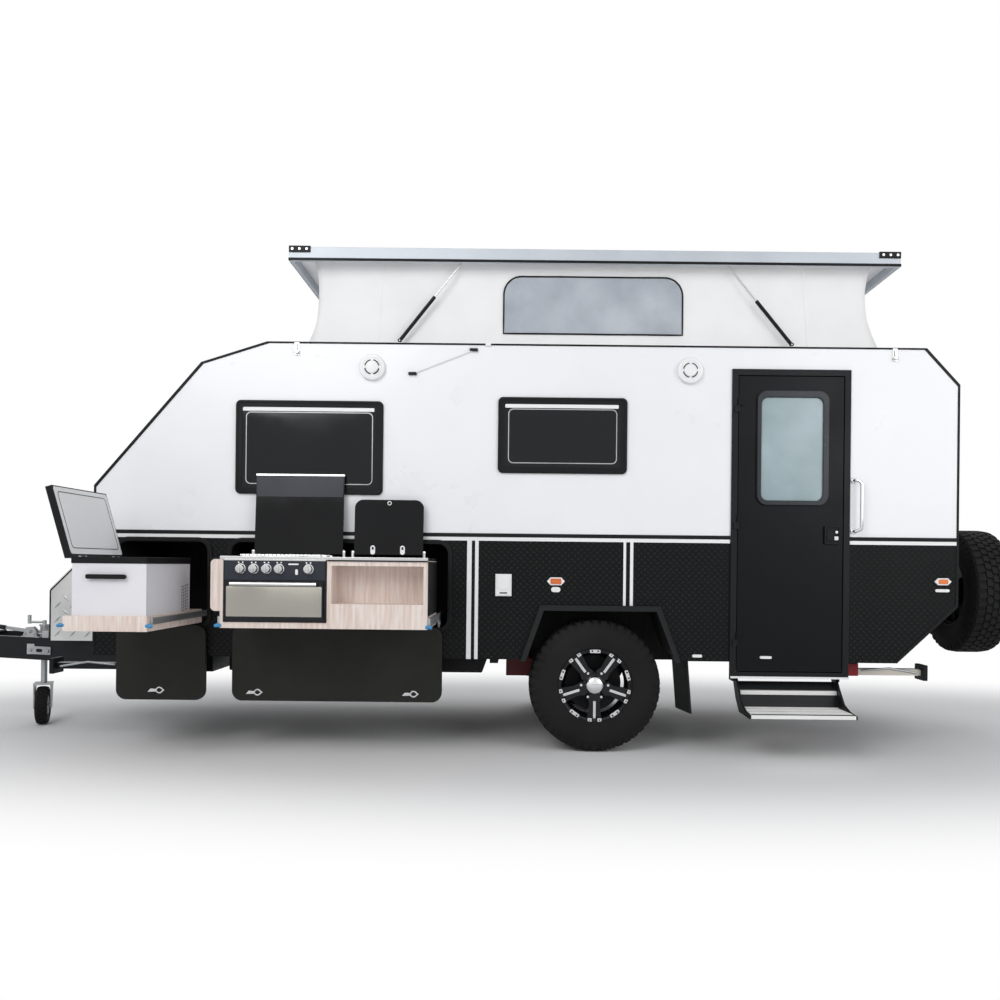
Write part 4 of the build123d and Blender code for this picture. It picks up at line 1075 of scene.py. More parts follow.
@dataclass
class RoadWheel:
    """A tyre with its tread and a five-spoke rim, about the Y axis with its face to -Y."""

    radius: float = 402.0
    width: float = 265.0
    seat: float = 215.7
    lugs: int = 46
    spokes: int = 5
    nuts: int = 6
    nut_circle: float = 82.0
    plate: Pair = (-109.5, -100.0)  # front and back of the bright marks at the rim's edge

    def fanned(self, shape: Shape) -> Shape:
        """Repeats a shape at each spoke."""
        return shape.copied(spun(self.spokes, ORIGIN, "Y"))

    def tyre(self) -> Shape:
        """Builds the carcass with its ribs, and rows of tread and shoulder blocks.

        Returns:
            The tyre at the origin.
        """
        r, h, s = self.radius, self.width / 2, self.seat
        base = r - 11
        profile = [
            (s + 1, -h * 0.74), (s + 4, -h * 0.84), (s + 14, -h * 0.92), (s + 17, -h * 0.94),
            (s + 24, -h * 0.94), (s + 60, -h * 0.995), (s + 95, -h), (s + 128, -h * 0.975),
            (base - 34, -h * 0.93), (base - 8, -h * 0.84), (base, -h * 0.74),
        ]
        profile += [(radius, -along) for radius, along in reversed(profile)]
        shape = Shape().lathe(profile, ORIGIN, sides=96)
        step = 360 / self.lugs
        for row, (low, high, shift, skew) in enumerate((
            (-0.8, -0.47, 0.0, 4.0), (-0.42, -0.16, 0.5, -5.0), (-0.12, 0.12, 0.1, 3.0),
            (0.16, 0.42, 0.6, 5.0), (0.47, 0.8, 0.2, -4.0),
        )):
            for i in range(self.lugs):
                turn = step * (i + shift)
                half = step * (0.34 if row in (0, 4) else 0.37)
                self.block(shape, (low * h, high * h), turn, half, skew / 10, base - 3, r)
        for side in SIDES:
            for i in range(self.lugs):
                self.shoulder(shape, side, step * i, step * (0.32 if i % 2 else 0.2))
        return shape

    def block(
        self, shape: Shape, run: Pair, turn: float, half: float, skew: float, low: float,
        high: float,
    ) -> None:
        """Adds one tread block.

        Args:
            shape: The tyre so far.
            run: Its width along the axle.
            turn: Its place round the tyre, in degrees.
            half: Half its length, in degrees.
            skew: How far its ends lean, in degrees.
            low: Radius at its foot.
            high: Radius at its top.
        """
        corners = []
        for radius, draft in ((low, 1.08), (high, 0.92)):
            drop = 6.0 if max(abs(run[0]), abs(run[1])) > self.width * 0.3 else 0.0
            for y, lean in ((run[0], -skew), (run[1], skew)):
                edge = drop if abs(y) > self.width * 0.3 else 0.0
                for way in SIDES:
                    a = math.radians(turn + lean + way * half * draft)
                    tip = radius - (edge if radius == high else 0.0)
                    corners.append(shape.mesh.verts.new((tip * math.sin(a), y, tip * math.cos(a))))
        for loop in (
            (0, 1, 3, 2), (4, 5, 7, 6), (0, 1, 5, 4), (2, 3, 7, 6), (0, 2, 6, 4), (1, 3, 7, 5)
        ):
            shape.mesh.faces.new([corners[k] for k in loop])

    def shoulder(self, shape: Shape, side: int, turn: float, half: float) -> None:
        """Adds one lug on the tyre's shoulder.

        Args:
            shape: The tyre so far.
            side: -1 for the face, 1 for the back.
            turn: Its place round the tyre, in degrees.
            half: Half its length, in degrees.
        """
        h, top = self.width / 2, self.radius
        spots = (
            (top - 62, h * 0.95), (top - 60, h * 0.985), (top - 12, h * 0.88), (top - 22, h * 0.8),
        )
        rings = []
        for way in SIDES:
            a = math.radians(turn + way * half)
            ring = [(r * math.sin(a), side * y, r * math.cos(a)) for r, y in spots]
            rings.append([shape.mesh.verts.new(p) for p in ring])
        for k in range(4):
            m = (k + 1) % 4
            shape.mesh.faces.new((rings[0][k], rings[0][m], rings[1][m], rings[1][k]))
        shape.mesh.faces.new(rings[0])
        shape.mesh.faces.new(rings[1])

    def rim(self) -> Shape:
        """Builds the rim's barrel, lips, hub and five spokes with their dished windows.

        Returns:
            The rim at the origin.
        """
        s = self.seat
        barrel = [
            (s + 12, -106), (s + 12, -98), (s - 2, -92), (s - 2, 92), (s + 12, 98), (s + 12, 106),
            (s - 12, 102), (s - 22, 60), (s - 30, -30), (s - 18, -60), (s - 14, -98), (s - 2, -108),
        ]
        shape = Shape().lathe(barrel, ORIGIN, sides=96, shut=True)
        hub = [(0, 24), (92, 24), (92, -40), (78, -62), (60, -74), (44, -76), (0, -76)]
        shape.lathe(hub, ORIGIN, sides=60)
        spoke = [
            (-30, -196), (30, -196), (46, -206), (38, -150), (33, -110), (44, -72),
            (20, -50), (-20, -50), (-44, -72), (-33, -110), (-38, -150), (-46, -206),
        ]
        return shape.joined(self.fanned(Shape().prism(spoke, Axis.Y, -84, -46)))

    def bright(self) -> Shape:
        """Builds the machined stripes, squares and plates on the rim's face.

        Returns:
            The bright marks at the origin.
        """
        shape = Shape().box((-8, 8), (-88, -83), (-214, -97))
        for x in (-30, 30):
            outer = rounded(x - 12, x + 12, -221, -197, 3, 3)
            hole = rounded(x - 4, x + 4, -213, -205, 3.5, 3)
            shape.ring(outer, hole, Axis.Y, *self.plate)
        plates = Shape().prism(rounded(-32, 32, 198, 222, 5), Axis.Y, *self.plate)
        return self.fanned(shape).joined(self.fanned(plates))

    def dots(self) -> Shape:
        """Builds the two dark bolt heads on each bright plate."""
        shape = Shape()
        for x in (-18, 18):
            shape.lathe([(5.5, 0), (5.5, -3), (0, -3)], (x, -108.5, 210), sides=12)
        return self.fanned(shape)

    def cap(self) -> Shape:
        """Builds the chromed hub cap and the wheel nuts."""
        shape = Shape().lathe(
            [(57, -70), (57, -92), (53, -101), (43, -109), (24, -114), (0, -115)], ORIGIN
        )
        nuts = Shape().lathe(
            [(11, -44), (11, -84), (8, -91), (0, -92)], (0, 0, self.nut_circle), sides=6
        )
        return shape.joined(nuts.copied(spun(self.nuts, ORIGIN, "Y", 180 / self.nuts)))

    def mount(self, label: str, at: Matrix, body: str, nodes: tuple[str, ...]) -> None:
        """Puts a whole wheel in its place.

        Args:
            label: The start of its pieces' names.
            at: Its place, in mm.
            body: The body that it moves with.
            nodes: The tyre's and the rim's nodes that it stands for.
        """
        tyre = self.tyre().turned(at).piece(label + "_tyre_treaded", Finishes.TYRE, body, angle=28)
        rim = self.rim().turned(at).piece(
            label + "_rim_cast", Finishes.ALLOY_BLACK, body, bevel=2.5
        )
        self.bright().turned(at).piece(label + "_rim_marks", Finishes.ALLOY_CUT, body, bevel=0.8)
        self.dots().turned(at).piece(label + "_rim_dots", Finishes.ALLOY_BLACK, body)
        self.cap().turned(at).piece(label + "_hub_cap", Finishes.CHROME, body)
        if nodes:
            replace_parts(tyre, nodes[0])
            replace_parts(rim, nodes[1])


@dataclass
class RunningGear:
    """The road wheels, the spares on the tail and the jockey wheel."""

    track: float = 930.0
    spare: Triple = (2496.0, 520.0, 987.0)
    wheel: RoadWheel = field(default_factory=RoadWheel)
    jockey: Triple = (-3760.0, -250.0, 130.0)
    jockey_turn: float = -70.0
    jockey_trail: float = 45.0

    def build(self) -> None:
        """Adds every wheel."""
        r = self.wheel.radius
        flip = Matrix.Scale(-1, 4, (0, 1, 0))
        rear = Matrix.Rotation(math.radians(90), 4, "Z")
        x, y, z = self.spare
        for label, spot, turn, body, nodes in (
            ("near_wheel", (0, -self.track, r), Matrix(), "near_wheel", ("near_tyre", "near_rim")),
            ("far_wheel", (0, self.track, r), flip, "far_wheel", ("far_tyre", "far_rim")),
            ("near_spare", (x, -y, z), rear, ROOT, ("spare_tyres", "spare_rims")),
            ("far_spare", (x, y, z), rear, ROOT, ()),
        ):
            self.wheel.mount(label, Matrix.Translation(spot) @ turn, body, nodes)
        plates = Shape().lathe(
            [(172, 40), (172, 46), (150, 50), (60, 54), (0, 54)], (0, -self.track, r), sides=64
        )
        plates.mirrored().piece("brake_plates", Finishes.POWDER, bevel=1)
        self.jockey_wheel()

    def jockey_wheel(self) -> None:
        """Builds the jockey's chunky little tyre and its hub."""
        small = RoadWheel(radius=130.0, width=80.0, seat=62.0, lugs=22)
        x, y, z = self.jockey
        at = pose((x, y, 0), self.jockey_turn, "Z") @ Matrix.Translation((self.jockey_trail, 0, z))
        base = 124.0
        profile = [(62, -30), (70, -37), (90, -40), (108, -38), (118, -33), (base, -24)]
        profile += [(radius, -along) for radius, along in reversed(profile)]
        shape = Shape().lathe(profile, ORIGIN, sides=60)
        step = 360 / small.lugs
        for low, high, shift in ((-33, -12, 0.0), (-9, 9, 0.5), (12, 33, 0.0)):
            for i in range(small.lugs):
                small.block(
                    shape, (low, high), step * (i + shift), step * 0.33, 0.6, base - 8, small.radius
                )
        tyre = shape.turned(at).piece(
            "jockey_tyre_treaded", Finishes.TYRE, "jockey_wheel_body", angle=28
        )
        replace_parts(tyre, "jockey_wheel")
        profile = [(11, -30), (24, -30), (26, -22), (48, -18), (56, -30), (64, -32)]
        profile += [(radius, -along) for radius, along in reversed(profile)]
        hub = Shape().lathe(profile, ORIGIN, sides=48, shut=True)
        hub.turned(at).piece("jockey_hub", Finishes.GALVANISED, "jockey_wheel_body", bevel=0.6)


@dataclass
class Kitchen:
    """The slide-out kitchen's oven front, hob, drain, lid fittings, edging and slide levers."""

    front: float = -1655.0
    bench: float = 1162.0
    knobs: tuple[float, ...] = (-1963.0, -1893.0, -1824.0, -1756.0, -1598.0)
    knob_z: float = 1095.0
    hinge: Pair = (-1172.0, 1186.0)
    lean: float = -4.0
    lever_spots: tuple[tuple[float, float, float, int], ...] = (
        (-2083, -1652, 788, -1), (-951, -1652, 788, 1),
        (-2786, -1930, 800, -1), (-2343, -1930, 800, 1),
    )

    def build(self) -> None:
        """Adds the kitchen's pieces."""
        self.controls()
        self.oven_front()
        self.hob()
        self.lids()
        self.levers()
        self.edging()

    def edging(self) -> None:
        """Adds the dark lines under the bench, the wing's cap and the slide's side plate."""
        y = self.front
        shape = Shape().box((-1497, -957), (y - 1, y + 8), (1139, 1146.5))
        shape.box((-2134, -2078), (y + 8, y + 62), (1146, 1152))
        shape.box((-957, -953), (y + 16, -1176), (846, 1142))
        shape.piece("kitchen_edging", Finishes.POWDER, bevel=1)

    def controls(self) -> None:
        """Adds the control panel with its knobs, marks and switch."""
        y = self.front
        panel = Shape().prism(rounded(-2051, -1509, 1035, 1140, 5), Axis.Y, y - 4, y + 1)
        panel.piece("oven_control_panel", Finishes.SLATE, bevel=1)
        strip = Shape().box((-2055, -1505), (y - 6, y), (1139, 1147))
        strip.piece("oven_top_strip", Finishes.STAINLESS, bevel=1)
        knobs, marks, skirts = Shape(), Shape(), Shape()
        z = self.knob_z
        for x in self.knobs:
            skirts.lathe([(28, 0), (28, -5), (25, -8), (24, -8)], (x, y - 3, z), sides=40)
            knobs.lathe([(24, 0), (23.8, -26), (21, -31), (0, -32)], (x, y - 3, z), sides=36)
            knobs.prism(rounded(x - 5, x + 5, z - 22, z + 22, 4), Axis.Y, y - 41, y - 30)
            for dot in (x - 11, x + 11):
                marks.lathe([(4.2, 0), (4.2, -1.2), (0, -1.2)], (dot, y - 4, z + 34), sides=12)
        marks.box((-1706, -1652), (y - 5.2, y - 3.5), (1117, 1125))
        marks.prism(rounded(-1668, -1654, 1064, 1094, 5), Axis.Y, y - 10, y - 3.5)
        knobs.piece("oven_knobs", Finishes.STAINLESS, bevel=1)
        skirts.piece("oven_knob_skirts", Finishes.CHROME)
        marks.piece("oven_panel_marks", Finishes.ABS_WHITE)

    def oven_front(self) -> None:
        """Hangs the mirror glass and the bright handle on the oven's door."""
        y = self.front - 13
        body = "oven_door_body"
        glass = Shape().prism(rounded(-2037, -1524, 838, 1000, 5), Axis.Y, y - 3, y + 1)
        glass.piece("oven_door_glass", Finishes.MIRROR, body, bevel=0.8)
        bar = Shape().tube([(-2012, y - 22, 1014), (-1548, y - 22, 1014)], 10.5, 20)
        for x in (-1974.0, -1584.0):
            bar.tube([(x, y - 22, 1014), (x, y + 1, 1014)], 9.5, 16)
        bar.piece("oven_door_handle", Finishes.STAINLESS, body, bevel=1)

    def hob(self) -> None:
        """Lays the comb-like trivets over four burners, and the sink's drain."""
        z = self.bench
        bars, burners = Shape(), Shape()
        for x in range(-1975, -1555, 21):
            bars.tube(
                [(x, -1612, z + 3), (x, -1604, z + 9), (x, -1290, z + 9), (x, -1282, z + 3)], 3.2, 8
            )
        for y in (-1604.0, -1450.0, -1290.0):
            bars.tube([(-1982, y, z + 7), (-1548, y, z + 7)], 3.6, 8)
        burner = [(44, 0), (44, 2), (36, 3), (30, 3), (30, 5), (26, 6), (0, 6)]
        for x in (-1880.0, -1655.0):
            for y in (-1530.0, -1370.0):
                burners.lathe(burner, (x, y, z), Axis.Z, 32)
        bars.piece("hob_trivets", Finishes.STAINLESS)
        burners.piece("hob_burners", Finishes.ENAMEL)
        drain = Shape().lathe(
            [(42, 0), (42, 3), (36, 4), (32, 2), (0, 1)], (-1240, -1320, 1014), Axis.Z, 32
        )
        drain.piece("sink_drain", Finishes.CHROME)

    def lids(self) -> None:
        """Trims the glass lids with their bright edge, band, lift hole, hinge clips and posts."""
        y, z = self.hinge
        at = pose((0, y, z), self.lean, "X")
        edge = Shape().box((-2036, -1509), (-6, 6), (461, 472))
        edge.turned(at).piece("hob_lid_edge", Finishes.STAINLESS, "hob_lid_body", bevel=1)
        band = Shape().prism(rounded(-2028, -1517, 336, 459, 4), Axis.Y, -5.2, -3.5)
        band.turned(at).piece("hob_lid_band", Finishes.SLATE, "hob_lid_body", bevel=0.6)
        clips = Shape().lathe(
            [(8, -5), (13, -5), (13, 5), (8, 5)], (-1240, 0, 303), sides=28, shut=True
        )
        for x in (-1334.0, -1158.0):
            clips.ring(
                rounded(x - 14, x + 14, -4, 50, 13), rounded(x - 6, x + 6, 24, 42, 5.8),
                Axis.Y, -7, 7,
            )
        clips.turned(at).piece("sink_lid_clips", Finishes.CHROME, "sink_lid_body", bevel=0.8)
        posts = Shape()
        for x in (-2040.5, -1504.5, -1451.5, -1029.5):
            posts.lathe(
                [(9.5, -34), (9.5, -6), (11, 0), (9, 8), (0, 11)], (x, y, z + 9), Axis.Z, 24
            )
        posts.piece("lid_hinge_posts", Finishes.CHROME)

    def levers(self) -> None:
        """Puts the blue release levers at the lower corners of both slides."""
        shape = Shape()
        for x, y, z, way in self.lever_spots:
            path = [(x - way * 14, y, z), (x + way * 6, y - 4, z + 1), (x + way * 20, y - 8, z - 4)]
            shape.tube(path, [8, 11, 7], 14)
        shape.piece("slide_levers", Finishes.NYLON_BLUE)


@dataclass
class Fridge:
    """The fridge's rim, handle, vents and the lid's white liner."""

    x: Pair = (-2742.0, -2363.0)
    y: Pair = (-1915.0, -1315.0)
    top: float = 1149.0
    lid_turn: float = -106.0

    def build(self) -> None:
        """Adds the fridge's pieces."""
        (x0, x1), (y0, y1) = self.x, self.y
        band = (1116, 1149.8)
        rim = Shape().box((x0 - 4, x1 + 4), (y0 - 4, y0 + 40), band)
        rim.box((x1 - 40, x1 + 4), (y0 + 40, y1 - 128), band)
        rim.box((x0 + 12, x1 + 4), (y1 - 128, y1 + 4), band)
        rim.box((x0 - 4, x0 + 12), (y0 + 40, y1 + 4), (1116, 1128))  # lower at the lid's hinge
        rim.piece("fridge_rim", Finishes.ABS_BLACK, bevel=2)
        handle = Shape().prism(rounded(-2663, -2461, 1037, 1061, 8), Axis.Y, y0 - 26, y0 - 12)
        for x in (-2648.0, -2476.0):
            handle.prism(rounded(x - 12, x + 12, 1039, 1059, 6), Axis.Y, y0 - 20, y0 + 1)
        handle.piece("fridge_handle", Finishes.ABS_BLACK, bevel=2)
        vents = Shape()
        for column in range(4):
            for row in range(9):
                spot = (x1, y1 - 40 - 26 * column, 862 + 17 * row - 4 * column)
                vents.lathe([(5, 0), (5, 1.4), (0, 1.4)], spot, Axis.X, 10)
        vents.piece("fridge_vents", Finishes.ABS_BLACK)
        at = pose((x0, 0, self.top + 2), self.lid_turn, "Y")
        wide = x1 - x0
        # The liner is drawn in ABS white, paler than the shell's lilac grey: the extra paleness is
        # a painted highlight for the light that falls on the raised lid.
        liner = Shape().prism(rounded(14, wide - 6, y0 + 6, y1 - 6, 16), Axis.Z, 3.4, 5)
        liner.turned(at).piece("fridge_lid_liner", Finishes.ABS_WHITE, "fridge_lid_body", bevel=1.5)
        groove = Shape().ring(
            rounded(44, wide - 30, y0 + 34, y1 - 34, 22),
            rounded(48, wide - 34, y0 + 38, y1 - 38, 19), Axis.Z, 2.6, 4,
        )
        groove.turned(at).piece("fridge_lid_groove", Finishes.ABS_BLACK, "fridge_lid_body")


@dataclass
class Hatches:
    """The bright latches on the hanging hatch doors and the seals round their openings."""

    face: float = -1142.0
    latches: tuple[Pair, ...] = ((-2033.0, 357.0), (-1105.0, 355.0), (-2617.0, 364.0))
    openings: tuple[Pair, ...] = ((-2190.0, -894.0), (-2868.0, -2334.0))

    def build(self) -> None:
        """Adds the latches and seals."""
        shape = Shape()
        for x, z in self.latches:
            turns = [math.radians(30 + 12 * i) for i in range(26)]
            outer = [(x + 50, z)] + [
                (x + 18 + 22 * math.cos(t), z + 20 * math.sin(t)) for t in turns
            ]
            inner = [(x + 16 + (px - x - 16) * 0.62, z + (pz - z) * 0.62) for px, pz in outer]
            shape.ring(outer, inner, Axis.Y, self.face - 7, self.face + 1)
            shade_plates = [(x - 52, z - 11), (x + 2, z - 9), (x + 2, z + 7), (x - 34, z + 9)]
            shape.prism(shade_plates, Axis.Y, self.face - 9, self.face + 1)
        shape.piece("hatch_latches", Finishes.STAINLESS, bevel=1)
        seals = Shape()
        for x0, x1 in self.openings:
            seals.ring(
                rounded(x0 - 14, x1 + 14, 732, 1264, 74), rounded(x0 - 8, x1 + 8, 738, 1258, 68),
                Axis.Y, -1116, -1111,
            )
        seals.piece("hatch_seals", Finishes.TYRE, bevel=1)


@dataclass
class Drawbar:
    """The handbrake's fittings with the clamp plate on the rail, and the toolbox's tread plate."""

    slope: float = -19.8
    box: Edges = (-3540.0, -3018.0, 603.0, 1130.0)
    half: float = 600.0
    chamfer: float = 200.0
    pitch: float = 84.0

    def build(self) -> None:
        """Adds the drawbar's pieces."""
        self.handbrake()
        self.toolbox()

    def handbrake(self) -> None:
        """Adds the handbrake's rod, bolts and grip, and the clamp plate on the rail."""
        at = pose((-3800, -347.2, 603), self.slope, "Z")
        bright, dark = Shape(), Shape()
        bright.tube([(50, 0, 24), (200, 0, 30), (270, 0, 20)], 6, 12)
        for x, z in ((-36, 22), (46, 22)):
            for side in SIDES:
                bright.tube([(x, side * 17, z), (x, side * 24, z)], 9, 6)
        bright.tube([(10, -30, 40), (10, 30, 40)], 11, 6)
        bright.box((112, 170), (-16, 16), (0, 46))
        bright.prism(rounded(8, 208, -112, -58, 8), Axis.Y, -32, -24.5)
        for x in (30, 186):
            bright.tube([(x, -41, -85), (x, -31, -85)], 12, 6)
        dark.tube(
            [(-357, 0, 65.7), (-346, 0, 64.9), (-240, 0, 57.5), (-232, 0, 57)], [12, 16, 16, 15], 18
        )
        dark.prism(rounded(84, 132, -96, -74, 8), Axis.Y, -36, -31)
        bright.turned(at).piece("handbrake_fittings", Finishes.GALVANISED, bevel=1)
        dark.turned(at).piece("handbrake_grip", Finishes.ABS_BLACK, bevel=1)

    def lozenges(
        self, shape: Shape, origin: Triple, across: Triple, up: Triple, size: Pair
    ) -> None:
        """Raises crossed lozenges on a flat panel.

        Args:
            shape: The shape that takes them.
            origin: The panel's first corner.
            across: Unit direction along its width.
            up: Unit direction along its height.
            size: Its width and height.
        """
        u, v = Vector(across), Vector(up)
        out = u.cross(v)
        step = self.pitch / 2
        columns, rows = int(size[0] / step), int(size[1] / step)
        for i in range(1, columns):
            for j in range(1, rows):
                if (i + j) % 2:
                    continue
                turn = 1 if i % 2 else -1
                centre = Vector(origin) + u * (i * size[0] / columns) + v * (j * size[1] / rows)
                long = (u + v * turn) * (step * 0.56)
                short = (u * -turn + v) * (step * 0.12)
                low = [centre + d for d in (-long, -short, long, short)]
                high = [centre + d * 0.5 + out * 2.4 for d in (-long, long)]
                a, b, c, d, e, f = [shape.mesh.verts.new(p) for p in low + high]
                for loop in (
                    (a, b, e), (b, c, f), (b, f, e), (c, d, f), (d, a, e), (d, e, f), (d, c, b, a),
                ):
                    shape.mesh.faces.new(loop)

    def toolbox(self) -> None:
        """Raises the tread pattern on the toolbox and its lid, and adds latches and edges."""
        x0, x1, z0, z1 = self.box
        h, c = self.half, self.chamfer
        plate = Shape()
        long, tall = x1 - x0 - c, z1 - z0
        for origin, across, up, size in (
            ((x0 + c, -h, z0), (1, 0, 0), (0, 0, 1), (long, tall)),
            ((x0, -h, z0), (1, 0, 0), (0, 0, 1), (c, tall - c)),
            ((x1, h, z0), (-1, 0, 0), (0, 0, 1), (long, tall)),
            ((x0 + c, h, z0), (-1, 0, 0), (0, 0, 1), (c, tall - c)),
            ((x0, h, z0), (0, -1, 0), (0, 0, 1), (2 * h, tall - c)),
            ((x0 + c + 40, -h, z1), (1, 0, 0), (0, 1, 0), (long - 40, 2 * h)),
        ):
            self.lozenges(plate, origin, across, up, size)
        plate.piece("toolbox_tread", Finishes.GALVANISED, angle=20)
        lid = Shape()
        half = math.sqrt(0.5)
        lift = 12 * half
        start = (x0 - lift + 6, h - 8, z1 - c + lift + 6)
        self.lozenges(lid, start, (0, -1, 0), (half, 0, half), (2 * h - 16, c / half - 20))
        lid.piece("toolbox_lid_tread", Finishes.GALVANISED, "toolbox_lid_body", angle=20)
        latch = Shape()
        for y in (-300.0, 300.0):
            latch.prism(rounded(y - 55, y + 55, -40, 40, 10), Axis.X, -6, 3)
            latch.prism(rounded(y - 30, y + 30, -18, 14, 6), Axis.X, -14, -4)
        tilt = pose((x0 + 60 - lift, 0, z1 - c + 60 + lift), 45, "Y")
        latch.turned(tilt).piece(
            "toolbox_latches", Finishes.ABS_BLACK, "toolbox_lid_body", bevel=1.5
        )
        trims = Shape()
        for side in SIDES:
            y = side * h
            path = [(x0, y, z0), (x0, y, z1 - c), (x0 + c, y, z1), (x1 + 2, y, z1)]
            trims.tube(path, 5, 8)
        trims.piece("toolbox_edges", Finishes.POWDER)


@dataclass
class GroundGear:
    """The stabilisers' feet and fittings, and the entry step's tread."""

    legs: tuple[tuple[str, float, float, int], ...] = (
        ("front", -2900.0, 478.0, -1), ("rear", 1600.0, 490.0, 1)
    )
    leg_y: float = 900.0
    reach: float = 450.0

    def build(self) -> None:
        """Adds the ground gear's pieces."""
        for end, x, z, way in self.legs:
            for label, side in (("near", -1), ("far", 1)):
                self.leg(end, label, x, side * self.leg_y, z, way)
        red = Shape()
        for _, x, z, way in self.legs:
            for side in SIDES:
                y = side * self.leg_y
                red.box(span(x - way * 32, x - way * 56), (y - 34, y + 34), (z - 18, z + 30))
                red.tube([(x - way * 56, y, z + 4), (x - way * 76, y, z + 4)], 13, 6)
                red.box((x - 31, x + 31), span(y + side * 44, y + side * 49), (z - 23, z + 52))
        red.piece("stabiliser_drives", Finishes.RED_PAINT, bevel=2)
        self.step()

    def leg(self, end: str, label: str, x: float, y: float, z: float, way: int) -> None:
        """Adds one leg's foot pad and bright stay.

        Args:
            end: front or rear.
            label: near or far.
            x: The pivot's place along the trailer.
            y: The pivot's place across.
            z: The pivot's height.
            way: Which way the leg points, folded.
        """
        body = f"leg_{end}_{label}"
        tip = x + way * self.reach
        foot = Shape().box(span(tip - way * 24, tip + way * 4), (y - 64, y + 64), (z - 48, z + 48))
        foot.piece(f"{body}_foot", Finishes.POWDER, body, bevel=4)
        stay = Shape().box(span(x + way * 30, tip - way * 26), (y - 20, y + 20), (z + 15, z + 21))
        bow = ((60, 10), (230, 24), (400, -4))
        stay.tube([(x + way * along, y - 30, z + rise) for along, rise in bow], 7, 10)
        stay.piece(f"{body}_stay", Finishes.GALVANISED, body, bevel=1)

    def step(self) -> None:
        """Covers the step's tread and upper bar in ribbed bright aluminium; dark plates and strips
        paint the shade in the gaps round the bar and in the tread's grooves.
        """
        shape = Shape().box((858, 1452), (-1404, -1116), (272, 293))
        for y in range(-1396, -1120, 17):
            shape.box((864, 1446), (y, y + 8), (292, 297))
        bar = (861, 1449)
        shape.box(bar, (-1093, -1052), (366, 391))
        shape.piece("step_tread", Finishes.STEP_BRIGHT, "step", bevel=1.2)
        # Painted shade: dark plates fill the gaps between the sill, the bar and the tread, where
        # the shaded ground shows, and dark strips on the tread stand for the shade in its grooves.
        shade_plates = Shape().prism([(-1090, 372), (-1084, 372), (-1112, 292), (-1118, 292)], Axis.X, *bar)
        shade_plates.prism([(-1064, 391), (-1058, 391), (-1030, 440), (-1036, 440)], Axis.X, *bar)
        for y in (-1398, -1390, -1290, -1190):
            shade_plates.box((860, 1450), (y, y + 3), (294, 297.6))
        shade_plates.piece("step_painted_shade", Finishes.POWDER, "step", bevel=0.6)


@dataclass
class Tail:
    """The tail lamps' bezels and lens ribs."""

    face: float = 2190.0

    def build(self) -> None:
        """Adds the tail lamps' pieces."""
        bezel, ribs, amber = Shape(), Shape(), Shape()
        x = self.face
        bezel.ring(
            rounded(-1048, -952, 1002, 1248, 16), rounded(-1036, -964, 1014, 1236, 10),
            Axis.X, x - 26, x + 4,
        )
        for z in range(1020, 1150, 12):
            ribs.box((x, x + 3), (-1034, -966), (z, z + 6))
        amber.prism(rounded(-1034, -966, 1160, 1232, 8), Axis.X, x - 1, x + 4)
        bezel.mirrored().piece("tail_lamp_bezels", Finishes.ABS_BLACK, bevel=1.5)
        ribs.mirrored().piece("tail_lamp_ribs", Finishes.RED_LENS, bevel=1)
        amber.mirrored().piece("tail_lamp_indicators", Finishes.AMBER, bevel=1.5)


